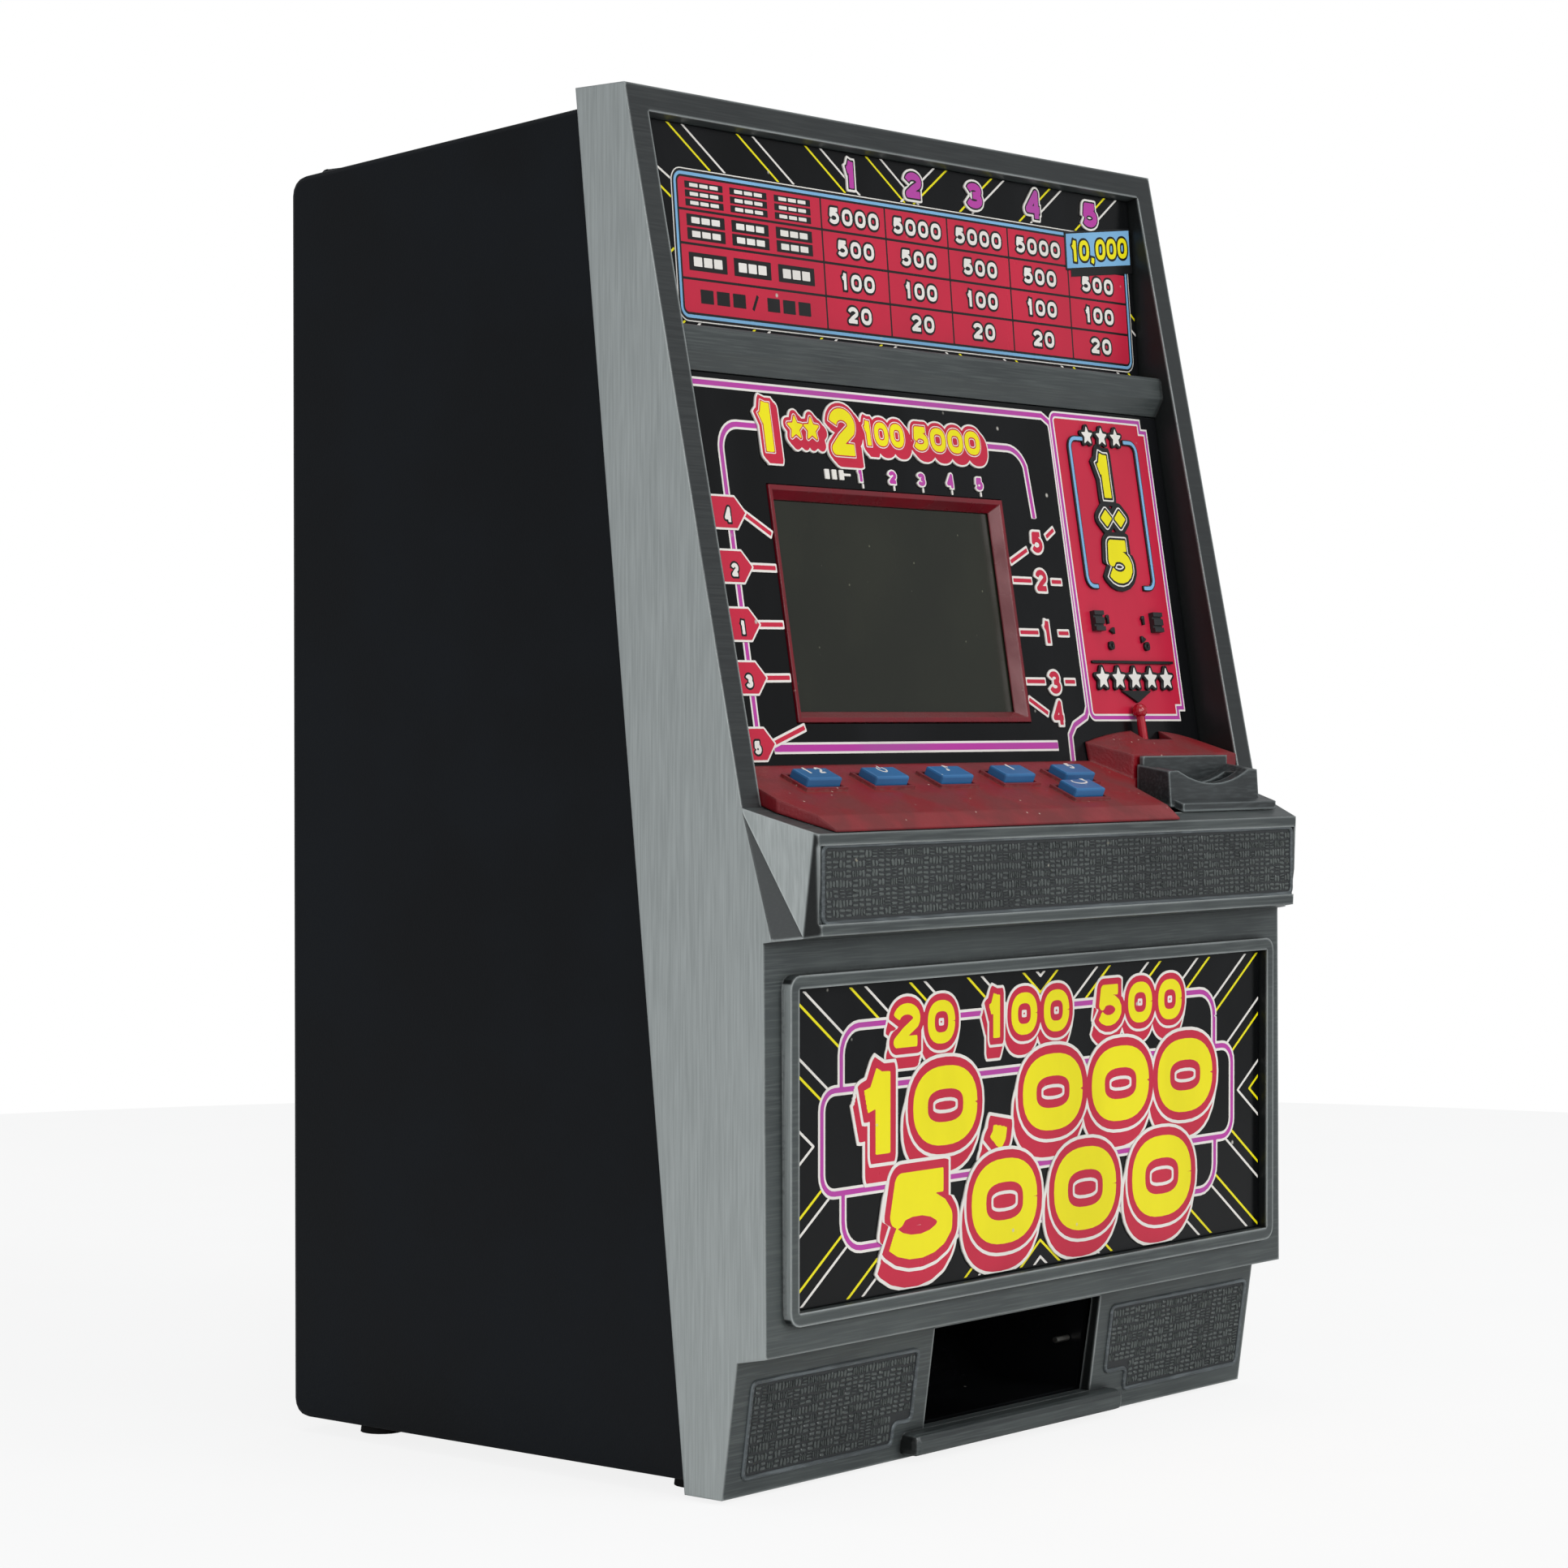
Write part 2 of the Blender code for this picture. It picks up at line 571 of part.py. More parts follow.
def printed_panels():
    half = WIDTH / 2 - LIP - 0.35
    foot_recess = SIGN_TOP_RECESS + SIGN_FALL * (SIGN_FOOT - LIP_TOP)
    sign = [on_slope(LIP_TOP + GAP, SIGN_TOP_RECESS), on_slope(SIGN_FOOT, foot_recess),
            on_slope(SIGN_FOOT, foot_recess + SHEET), on_slope(LIP_TOP + GAP, SIGN_TOP_RECESS + SHEET)]
    payout = side_profile("payout_sign", sign, -half, half, PRINT)
    low = BAR_TOP - GAP
    cut(payout, block("bar_clear", (-half - 1, -low - 8, -12), (half + 1, -low, 2), None, PANEL))
    box("belly_sign", (-BELLY_SIGN_HALF + GAP, BELLY_SIGN_HALF - GAP), (BELLY_F - 1.2 + GAP, BELLY_F + 0.5),
        (BELLY_SIGN_LOW + GAP, BELLY_SIGN_HIGH - GAP), PRINT)
    game = block("game_panel", (-half, -PANEL_FOOT, -PANEL_RECESS - SHEET),
                 (half, -BAR_FOOT - GAP, -PANEL_RECESS), PRINT, GAME)
    cut(game, block("lcd_hole", (LCD_LEFT - GAP, -LCD_FOOT - GAP, -14), (LCD_RIGHT + GAP, -LCD_TOP + GAP, 0),
                    None, GAME))
    for place_x in SWITCH_X:
        cut(game, block("switch_hole", (place_x - SWITCH_W / 2, -SWITCH_S - SWITCH_L / 2, -14),
                        (place_x + SWITCH_W / 2, -SWITCH_S + SWITCH_L / 2, 0), None, GAME))
    down = PANEL_FOOT - POST_RISE
    for place_x in POST_X:
        join(game, rod("panel_post", 3.0, (place_x, -down, -PANEL_RECESS - SHEET + 0.5),
                       (place_x, -down, -MAIN_BOARD_DEPTH + GAP), None, GAME, 12))
        cut(game, rod("post_hole", 1.1 + GAP, (place_x, -down, -MAIN_BOARD_DEPTH + 5),
                      (place_x, -down, -MAIN_BOARD_DEPTH - 2), None, GAME, 10))


def bezel_box(name, inset, low, high, look=None):
    # a block in the GAME frame whose sides stand inside the display's outline
    return block(name, (LCD_LEFT + inset, -LCD_FOOT + inset, low),
                 (LCD_RIGHT - inset, -LCD_TOP - inset, high), look, GAME)


def display():
    # the bezel goes in from behind: its flange lies behind the panel and the window sits in its rear
    rim = -PANEL_RECESS + BEZEL_PROUD
    face = -PANEL_RECESS - GLASS_SUNK
    flange = -PANEL_RECESS - SHEET - GAP
    bezel = bezel_box("lcd_bezel", 0.0, flange - BEZEL_FLANGE_THICK, rim, RED)
    join(bezel, bezel_box("bezel_flange", -BEZEL_FLANGE, flange - BEZEL_FLANGE_THICK, flange))
    # the cutter's walls run on past the rim and the window by the same slope
    steep = BEZEL_SLOPE / (rim - face - GAP)
    inset = BEZEL_FLAT + BEZEL_SLOPE
    corners = []
    for reach, level in ((BEZEL_FLAT - steep, rim + 1.0), (inset + steep, face + GAP - 1.0)):
        for across in (LCD_LEFT + reach, LCD_RIGHT - reach):
            for along in (-LCD_FOOT + reach, -LCD_TOP - reach):
                corners.append((across, along, level))
    cut(bezel, hull("bezel_slope", corners, None, GAME))
    seat = inset - GLASS_LAP
    cut(bezel, bezel_box("window_seat", seat, flange - BEZEL_FLANGE_THICK - 2, face + GAP))
    bezel_box("lcd_window", seat + GAP, face - GLASS, face, SMOKE)
    bezel_box("lcd_module", 3.0, -MAIN_BOARD_DEPTH + GAP, face - GLASS - 2 * GAP, GREEN)
    board = block("main_board", (BOARD_LEFT, -PANEL_FOOT + 5.5, -MAIN_BOARD_DEPTH - BOARD),
                  (BOARD_RIGHT, -PANEL_FOOT + 83.5, -MAIN_BOARD_DEPTH), GREEN, GAME)
    down = PANEL_FOOT - POST_RISE
    for number, place_x in enumerate(POST_X):
        cut(board, rod("board_hole", 1.5, (place_x, -down, -MAIN_BOARD_DEPTH + 2),
                       (place_x, -down, -MAIN_BOARD_DEPTH - 4), None, GAME, 10))
        head = -MAIN_BOARD_DEPTH - BOARD - GAP
        screw = rod("board_screw_%d" % (number + 1), 1.1, (place_x, -down, head - 0.4),
                    (place_x, -down, head + 5), STEEL, GAME, 10)
        join(screw, rod("board_head", 2.2, (place_x, -down, head - 1.5), (place_x, -down, head),
                        None, GAME, 10))


def switches():
    for name, place_x in zip(("bell", "jackpot"), SWITCH_X):
        back = -PANEL_RECESS - SHEET - GAP
        housing = block(name + "_switch_housing", (place_x - 4.4, -SWITCH_S - 7.5, back - 6.0),
                        (place_x + 4.4, -SWITCH_S + 7.5, back), STEEL, GAME)
        cut(housing, block("knob_track", (place_x - SWITCH_W / 2, -SWITCH_S - SWITCH_L / 2, back - 2.4),
                           (place_x + SWITCH_W / 2, -SWITCH_S + SWITCH_L / 2, 0), None, GAME))
        top = -SWITCH_S + SWITCH_L / 2 - RUN
        knob_half = SWITCH_W / 2 - RUN
        length = SWITCH_L - SWITCH_TRAVEL - 2 * RUN
        knob = block(name + "_switch_knob", (place_x - knob_half, top - length, back - 2.4 + RUN),
                     (place_x + knob_half, top, -PANEL_RECESS + KNOB_PROUD), BLACK, GAME)
        for ridge in (0.28, 0.72):
            line = top - length * ridge
            cut(knob, block("knob_groove", (place_x - 3, line - 0.3, -PANEL_RECESS + KNOB_PROUD - 0.5),
                            (place_x + 3, line + 0.3, 0), None, GAME))


def button_places():
    names = ("player", "power", "sound", "bet", "max_bet")
    spots = []
    for number, name in enumerate(names):
        spots.append((name, BUTTON_FIRST_X + BUTTON_PITCH * number, BUTTON_ROW_T))
    return spots + [("spin", SPIN_X, SPIN_T)]


def button_deck():
    # the deck is a tapered slab: its top slopes more than the bump's top below it
    angle = math.radians(DECK_ANGLE)
    nose_f = DECK_REAR_F + DECK_LENGTH * math.cos(angle)
    nose = DECK_REAR - DECK_LENGTH * math.sin(angle)
    side = ((DECK_REAR_F - REAR_REACH, DECK_REAR + REAR_REACH * math.tan(angle)), (nose_f, nose),
            (DEPTH - 0.3, nose - 2.9), (DEPTH - 0.3, bump_top(DEPTH) + GAP),
            (SHELF - 3, bump_top(SHELF - 3) + GAP), (DECK_REAR_F - 0.5, DECK_REAR - 3.5))
    half = WIDTH / 2 - LIP - 0.35
    deck = side_profile("button_deck", side, -half, half, RED)
    corner = ((-half - 1, -(CHAMFER_TOP_F - 1.5)), (-half - 1, -(DEPTH + 1)),
              (-half + 6.6, -(DEPTH + 1)))
    cut(deck, prism("deck_corner", corner, BUMP_TOP - 4, DECK_REAR + 4))
    hollow = ((DECK_REAR_F + 5.5, DECK_REAR - 4.6), (nose_f - 3, nose - DECK_WALL), (nose_f - 3, nose - 12),
              (DECK_REAR_F + 5.5, nose - 12))
    cut(deck, side_profile("deck_hollow", hollow, -half + 8, DECK_RIGHT))
    rear_f = DECK_REAR_F - 2 * REAR_REACH
    edge = HOOD_REAR_TOP - HOOD_ARCH
    rows = []
    for step in range(HOOD_STEPS + 1):
        share = step / HOOD_STEPS
        lift = HOOD_ARCH * 4 * share * (1 - share)
        rows.append((HOOD_LEFT + (HOOD_RIGHT - HOOD_LEFT) * share, -rear_f, edge + lift))
    for left, forward, top, foot in ((HOOD_LEFT, rear_f, edge, DECK_REAR - 3.2),
                                     (HOOD_FRONT_LEFT, HOOD_FRONT_F, HOOD_FRONT_TOP, DECK_REAR - 6.5)):
        for across in (left, HOOD_RIGHT):
            rows.append((across, -forward, top))
            rows.append((across, -forward, foot))
    join(deck, hull("hood", rows))
    inner = []
    for left, forward, top in ((HOOD_LEFT, rear_f + HOOD_WALL, edge - HOOD_WALL),
                               (HOOD_FRONT_LEFT, HOOD_FRONT_F - HOOD_WALL, HOOD_FRONT_TOP - HOOD_WALL)):
        for across in (left + HOOD_WALL, HOOD_RIGHT - HOOD_WALL):
            inner.append((across, -forward, top))
            inner.append((across, -forward, DECK_REAR - 9))
    cut(deck, hull("hood_hollow", inner))
    cut(deck, block("panel_clear", (-half - 2, -PANEL_FOOT - 30, -20),
                    (half + 2, -PANEL_FOOT + 40, -PANEL_RECESS + GAP), None, GAME))
    cut(deck, lever_slot())
    wall = MOUTH_REAR_F - GAP
    mouth_room = ((DECK_END, -(DEPTH + 2)), (DECK_END, -DECK_END_F), (MOUTH_LEFT - GAP, -wall),
                  (half + 2, -wall), (half + 2, -(DEPTH + 2)))
    cut(deck, prism("mouth_clear", mouth_room, BUMP_TOP - 8, DECK_REAR + 4))
    for name, across, along in button_places():
        ring_w = BUTTON_W / 2 + RUN + RING
        ring_l = BUTTON_L / 2 + RUN + RING
        join(deck, block("button_ring", (across - ring_w, -along - ring_l, -1.0),
                         (across + ring_w, -along + ring_l, RING_PROUD), None, DECK))
        cut(deck, block("button_hole", (across - BUTTON_W / 2 - RUN, -along - BUTTON_L / 2 - RUN, -14),
                        (across + BUTTON_W / 2 + RUN, -along + BUTTON_L / 2 + RUN, 4), None, DECK))


def buttons():
    for name, across, along in button_places():
        cap = block(name + "_button", (across - BUTTON_W / 2, -along - BUTTON_L / 2, -3.2),
                    (across + BUTTON_W / 2, -along + BUTTON_L / 2, BUTTON_PROUD), BLUE, DECK)
        edge = cap.modifiers.new("round", 'BEVEL')
        edge.width = 0.5 * MM
        edge.segments = 2
        edge.limit_method = 'ANGLE'
    left = BUTTON_FIRST_X - 9
    right = BUTTON_FIRST_X + 4 * BUTTON_PITCH + 9
    low = -(SPIN_T + 4)
    block("button_membrane", (left, low, -MEMBRANE_DEPTH - 1.0), (right, -3.6, -MEMBRANE_DEPTH), RUBBER,
          DECK)
    top = -MEMBRANE_DEPTH - 1.0 - GAP
    block("button_board", (left, low, top - BOARD), (right, -3.6, top), GREEN, DECK)


def coin_mouth():
    rear = MOUTH_REAR_F
    slope = ((rear, MOUTH_TOP), (MOUTH_FRONT_F - 0.6, MOUTH_TOP - MOUTH_FALL),
             (MOUTH_FRONT_F, bump_top(MOUTH_FRONT_F) + 2 * GAP), (rear, bump_top(rear) + 2 * GAP))
    mouth = side_profile("coin_mouth", slope, MOUTH_LEFT, MOUTH_RIGHT, GREY)
    middle = (MOUTH_LEFT + MOUTH_RIGHT) / 2
    back = box("mouth_back", (MOUTH_LEFT + 1.0, MOUTH_RIGHT - 1.0), (rear, rear + MOUTH_BACK),
               (bump_top(rear) + 2.0, HOOD_FRONT_TOP - GAP))
    join(mouth, back)
    centre = MOUTH_TOP + DISH_R - DISH_DEEP
    cut(mouth, rod("mouth_dish", DISH_R, (middle, -(rear + MOUTH_BACK), centre),
                   (middle, -(MOUTH_FRONT_F + 3), centre), sides=64))
    nose = MOUTH_FRONT_F + STEP_DEPTH
    foot = ((rear, bump_top(rear) + STEP_HIGH), (nose, bump_top(nose) + STEP_HIGH),
            (nose, bump_top(nose) + GAP), (rear, bump_top(rear) + GAP))
    join(mouth, side_profile("mouth_step", foot, MOUTH_LEFT + 1.6, MOUTH_RIGHT + MOUTH_BASE))
    cut(mouth, box("slot", (middle - SLOT_W / 2, middle + SLOT_W / 2),
                   (SLOT_F - SLOT_T / 2, SLOT_F + SLOT_T / 2), (BUMP_TOP - 7, MOUTH_TOP + 4)))
    roof = MOUTH_TOP - DISH_DEEP - 1.6
    cut(mouth, box("mouth_hollow", (MOUTH_LEFT + 2, MOUTH_RIGHT - 2), (rear + 1.5, MOUTH_FRONT_F - 1.7),
                   (BUMP_TOP - 6, roof)))


def chute_line(shift):
    # side view of the chute's path, widened by shift on both sides
    half = SLOT_T / 2 + CHUTE_EASE + shift
    top = MOUTH_TOP - DISH_DEEP - 1.6 - GAP
    bend = CHUTE_BEND
    foot_f = SLOT_F - CHUTE_BACK_SHIFT
    return ((SLOT_F - half, top), (SLOT_F + half, top), (SLOT_F + half, bend), (foot_f + half, CHUTE_FOOT),
            (foot_f - half, CHUTE_FOOT), (SLOT_F - half, bend))


def coin_path():
    middle = (MOUTH_LEFT + MOUTH_RIGHT) / 2
    half = SLOT_W / 2 + 0.6
    chute = side_profile("coin_chute", chute_line(CHUTE_WALL), middle - half - CHUTE_WALL,
                         middle + half + CHUTE_WALL, BLACK)
    cut(chute, side_profile("chute_way", extend(chute_line(0.0)), middle - half, middle + half))
    wall = middle + half
    cut(chute, box("sensor_slot", (wall - 2, wall + CHUTE_WALL + 2), (SLOT_F - 1.6, SLOT_F + 1.6),
                   (SENSOR_UP - 4.8, SENSOR_UP + 1.4)))
    lever = box("coin_switch_lever", (wall - 1.4, wall + 5.6), (SLOT_F - 1.0, SLOT_F + 1.0),
                (SENSOR_UP - 0.3, SENSOR_UP + 0.3), STEEL)
    put_origin(lever, (wall + 5.0, -SLOT_F, SENSOR_UP))
    box("coin_switch", (wall + CHUTE_WALL + 0.6, wall + CHUTE_WALL + 6.6), (SLOT_F - 3.0, SLOT_F + 3.0),
        (SENSOR_UP - 9.0, SENSOR_UP - 1.8), BLACK)


def extend(line):
    # the chute's way runs past both of its ends
    top = [(line[0][0], line[0][1] + 4), (line[1][0], line[1][1] + 4)]
    run_f = line[5][0] - line[4][0]
    run_z = line[5][1] - line[4][1]
    drop = 0.2
    foot = [(line[spot][0] - run_f * drop, line[spot][1] - run_z * drop) for spot in (3, 4)]
    return [top[0], top[1], line[2], foot[0], foot[1], line[5]]


def bin_under(forward):
    fall = (BIN_FLOOR_BACK - BIN_FLOOR_FRONT) / (BIN_FRONT_F - BIN_BACK_F)
    return BIN_FLOOR_BACK - fall * (forward - BIN_BACK_F)


def coin_bin():
    side = ((BIN_BACK_F, BIN_FLOOR_BACK), (BIN_FRONT_F, BIN_FLOOR_FRONT), (BIN_FRONT_F, BIN_TOP),
            (BIN_BACK_F, BIN_TOP))
    hopper = side_profile("coin_bin", side, -BIN_HALF, BIN_HALF, BLACK)
    fall = (BIN_FLOOR_BACK - BIN_FLOOR_FRONT) / (BIN_FRONT_F - BIN_BACK_F)
    floor_back = BIN_FLOOR_BACK + BIN_WALL * 1.2
    inner_b = BIN_BACK_F + BIN_WALL
    inner_f = BIN_FRONT_F - BIN_WALL
    inner = ((inner_b, floor_back - fall * BIN_WALL), (inner_f, floor_back - fall * (inner_f - BIN_BACK_F)),
             (inner_f, BIN_TOP + 5), (inner_b, BIN_TOP + 5))
    cut(hopper, side_profile("bin_inside", inner, -BIN_HALF + BIN_WALL, BIN_HALF - BIN_WALL))
    cut(hopper, box("bin_outlet", (-GATE_HALF + 2, GATE_HALF - 2),
                    (GATE_HINGE_F - GATE_LENGTH + 2, GATE_HINGE_F - 2), (BIN_FLOOR_FRONT - 5, BIN_FLOOR_BACK)))
    for hand in (-1, 1):
        near = hand * (GATE_HALF + 2.4)
        ear = box("hinge_ear", sorted((near, near + hand * 2.2)), (GATE_HINGE_F - 3, GATE_HINGE_F + 3),
                  (GATE_HINGE - 2.6, BIN_FLOOR_FRONT + 3))
        join(hopper, ear)
    cut(hopper, rod("pin_bore", PIN_R + GAP, (-GATE_HALF - 8, -GATE_HINGE_F, GATE_HINGE),
                    (GATE_HALF + 8, -GATE_HINGE_F, GATE_HINGE), sides=12))
    # the gate pin's crank swings up through the bin's lower front corner
    cut(hopper, box("crank_slot", (ROD_X - CRANK_HALF - CRANK_ROOM, ROD_X + CRANK_HALF + CRANK_ROOM),
                    (GATE_HINGE_F - 4, BIN_FRONT_F + 1), (BIN_FLOOR_FRONT - 6, GATE_HINGE + CRANK_RISE)))


def payout_gate():
    # the gate lies just under the bin's sloping floor
    rear = GATE_HINGE_F - GATE_LENGTH
    front = GATE_HINGE_F + 0.5
    line = ((rear, bin_under(rear) - RUN), (front, bin_under(front) - RUN),
            (front, bin_under(front) - RUN - GATE_THICK), (rear, bin_under(rear) - RUN - GATE_THICK))
    gate = side_profile("payout_gate", line, -GATE_HALF, GATE_HALF, BLACK)
    join(gate, rod("gate_barrel", 2.3, (-GATE_HALF - 1.4, -GATE_HINGE_F, GATE_HINGE),
                   (GATE_HALF + 1.4, -GATE_HINGE_F, GATE_HINGE), sides=14))
    cut(gate, rod("gate_bore", PIN_R + GAP, (-GATE_HALF - 8, -GATE_HINGE_F, GATE_HINGE),
                  (GATE_HALF + 8, -GATE_HINGE_F, GATE_HINGE), sides=12))
    put_origin(gate, (0, -GATE_HINGE_F, GATE_HINGE))
    pin_end = ROD_X + 2.5
    pin = rod("gate_pin", PIN_R, (-GATE_HALF - 6, -GATE_HINGE_F, GATE_HINGE),
              (pin_end, -GATE_HINGE_F, GATE_HINGE), STEEL, sides=12)
    crank = box("gate_crank", (ROD_X - CRANK_HALF, ROD_X + CRANK_HALF),
                (GATE_HINGE_F, GATE_HINGE_F + GATE_ARM), (GATE_HINGE - 1.2, GATE_HINGE + 1.2))
    join(pin, crank)
    put_origin(pin, (0, -GATE_HINGE_F, GATE_HINGE))


def winner_lever():
    # drawn in the GAME frame, where the lever swings parallel to the game panel
    out = -PANEL_RECESS + LEVER_AHEAD
    start = on_game(PANEL_PIVOT, -out)[1]
    down = PANEL_PIVOT + (start - LEVER_PIVOT) / math.cos(LEAN - PANEL_TILT)
    hub = (LEVER_X, -down, out)
    lever = rod("winner_lever", 1.4, hub, (LEVER_X, -down + LEVER_UP, out), RED, GAME, 12, 1.0)
    join(lever, ball("lever_ball", BALL_R, (LEVER_X, -down + LEVER_UP, out), None, GAME))
    join(lever, rod("lever_hub", 3.2, (LEVER_X, -down, out - 1.5), (LEVER_X, -down, out + 1.5),
                    None, GAME, 16))
    join(lever, block("lever_crank", (LEVER_X - LEVER_ARM - 1.4, -down - 1.2, out - 0.8),
                      (LEVER_X, -down + 1.2, out + 0.8), None, GAME))
    cut(lever, rod("hub_bore", PIN_R + GAP, (LEVER_X, -down, out - 4), (LEVER_X, -down, out + 4),
                   None, GAME, 12))
    put_origin(lever, hub)
    wall = out - 1.5 - GAP
    bracket = block("lever_bracket", (LEVER_X - 8, -down - 8, wall - 1.6), (LEVER_X + 8, -down + 4.6, wall),
                    STEEL, GAME)
    cut(bracket, rod("bracket_bore", PIN_R + GAP, (LEVER_X, -down, wall - 4), (LEVER_X, -down, wall + 4),
                     None, GAME, 12))
    pin = rod("lever_pin", PIN_R, (LEVER_X, -down, wall - 2.4), (LEVER_X, -down, out + 2.4), STEEL, GAME, 12)
    join(pin, rod("pin_head", 2.0, (LEVER_X, -down, out + 1.5 + GAP), (LEVER_X, -down, out + 2.8),
                  None, GAME, 12))
    top = on_game(down, -out)[1] + 4.2
    foot = GATE_HINGE - 3.4
    rear = GATE_HINGE_F + ROD_AHEAD - 0.8
    pull = rod("pull_rod", ROD_R, (SHAFT_X, -SHAFT_F, foot), (SHAFT_X, -SHAFT_F, top - 0.7), STEEL, sides=10)
    across = (ROD_X - 1.6, SHAFT_X + ROD_R / 2)
    join(pull, box("rod_hook", across, (rear, SHAFT_F + ROD_R / 2), (foot - 0.6, foot + 0.8)))
    over = (SHAFT_X - 1.5 * ROD_R, SHAFT_X + ROD_R / 2)
    join(pull, box("rod_top", over, (rear, SHAFT_F + ROD_R / 2), (top - 1.4, top)))


def coin_tray():
    mouth_f = kick_face(TRAY_LOW) - WALL - 1.4
    high = 30.6
    outer = [(TRAY_BACK_F - TRAY_WALL, BODY_LOW + WALL + GAP), (mouth_f, BODY_LOW + WALL + GAP),
             (kick_face(high - 6) - WALL - 1.4, high), (TRAY_BACK_F - TRAY_WALL, high)]
    left = TRAY_MID - TRAY_HALF
    right = TRAY_MID + TRAY_HALF
    tray = side_profile("coin_tray", outer, left - TRAY_WALL, right + TRAY_WALL, BLACK)
    reach = 20.0
    curve = [(mouth_f + 12, TRAY_FLOOR)]
    for step in range(7):
        angle = math.radians(90 * step / 6)
        curve.append((TRAY_BACK_F + reach - reach * math.sin(angle),
                      TRAY_FLOOR + reach - reach * math.cos(angle)))
    curve.append((TRAY_BACK_F, high + 8))
    curve.append((mouth_f + 12, high + 8))
    cut(tray, side_profile("tray_inside", curve, left, right))
    rod("tray_stop_pin", 0.7, (right - GAP, -STOP_F, STOP_UP), (right - 5.2, -STOP_F, STOP_UP), STEEL,
        sides=10)


def rear_shell():
    half = WIDTH / 2 - BODY_INSET
    side = ((0, BODY_LOW), (back_edge(BODY_LOW) - GAP, BODY_LOW), (back_edge(ROOF_FRONT) - GAP, ROOF_FRONT),
            (0, ROOF_BACK))
    shell = side_profile("rear_shell", side, -half, half, BLACK)
    bm = bmesh.new()
    bm.from_mesh(shell.data)
    near = 0.01 * MM
    rear = [edge for edge in bm.edges if all(abs(corner.co.x) < near for corner in edge.verts)
            and abs(edge.verts[0].co.z - edge.verts[1].co.z) > near]
    bmesh.ops.bevel(bm, geom=rear, offset=BODY_ROUND * MM, segments=4, profile=0.5, affect='EDGES')
    front = (back_edge(HEIGHT) - 2) * MM
    side = [edge for edge in bm.edges if abs(edge.verts[0].co.z - edge.verts[1].co.z) < near
            and min(corner.co.x for corner in edge.verts) < front]
    bmesh.ops.bevel(bm, geom=side, offset=SIDE_ROUND * MM, segments=2, profile=0.5, affect='EDGES')
    bm.to_mesh(shell.data)
    bm.free()
    slope = (ROOF_FRONT - ROOF_BACK) / back_edge(ROOF_FRONT)
    inner = ((WALL, BODY_LOW + WALL), (140, BODY_LOW + WALL), (140, ROOF_BACK + slope * 140 - WALL),
             (WALL, ROOF_BACK + slope * WALL - WALL))
    cut(shell, side_profile("shell_inside", inner, -half + WALL, half - WALL))
    cut(shell, box("door_hole", (-DOOR_HALF, DOOR_HALF), (-3, WALL + 1), (DOOR_LOW, DOOR_HIGH)))
    finger = rod("finger_notch", 9.0, (0, 3, DOOR_LOW + 3.5), (0, -WALL - 0.4, DOOR_LOW + 3.5), sides=24)
    cut(shell, finger)
    for hand in (-1, 1):
        span = sorted((hand * LUG_IN, hand * LUG_OUT))
        lug = box("hinge_lug", span, (HINGE_F, LUG_END_F), (ROOF_BACK - 1, HINGE_Z + KNUCKLE_R - 0.1))
        knuckle = rod("knuckle", KNUCKLE_R, (span[0], -HINGE_F, HINGE_Z), (span[1], -HINGE_F, HINGE_Z),
                      sides=18)
        web = box("knuckle_web", span, (HINGE_F - KNUCKLE_R, HINGE_F + KNUCKLE_R), (ROOF_BACK - 2, HINGE_Z))
        join(shell, lug, web, knuckle)
        cut(shell, rod("hinge_bore", PIN_R + GAP, (hand * (LUG_IN - 2), -HINGE_F, HINGE_Z),
                       (hand * (LUG_OUT + 4), -HINGE_F, HINGE_Z), sides=12))
        far = LUG_IN - EAR - 2 * RUN
        cut(shell, box("ear_slot", sorted((hand * far, hand * LUG_IN)), (-3, HINGE_F + KNUCKLE_R + 0.8),
                       (DOOR_HIGH - 2, ROOF_BACK + 6)))
        for height in BOSS_Z:
            back = back_edge(height) - GAP - TAB
            spot = sorted((hand * (BOSS_X - 4.2), hand * (half - WALL + 0.8)))
            join(shell, box("screw_tab", spot, (back, back + TAB),
                            (height - 4.5, min(height + 4.5, ROOF_FRONT - 1))))
            cut(shell, rod("tab_hole", SCREW_R + GAP, (hand * BOSS_X, -back + 1, height),
                           (hand * BOSS_X, -back - TAB - 1, height), sides=12))
    bay_half = CELL_PITCH * 1.5 + 1.4
    front = BAY_FRONT_F
    back = front - CELL_L - 8
    cut(shell, box("cover_seat", (BAY_X - bay_half - 2 - GAP, BAY_X + bay_half + 2 + GAP),
                   (back - 2 - COVER_TRAVEL - RUN, front + 2 + GAP), (BODY_LOW - 1, BODY_LOW + COVER + GAP)))
    cut(shell, box("bay_hole", (BAY_X - bay_half + 2, BAY_X + bay_half - 2), (back + 4, front - 4),
                   (0, BODY_LOW + 4)))
    for ring, count in ((0.0, 1), (8.5, 6)):
        for number in range(count):
            turn = 2 * math.pi * number / count
            across = SPEAKER_X + ring * math.cos(turn)
            along = SPEAKER_F + ring * math.sin(turn)
            cut(shell, rod("sound_hole", 2.0, (across, -along, 0), (across, -along, BODY_LOW + 4), sides=10))


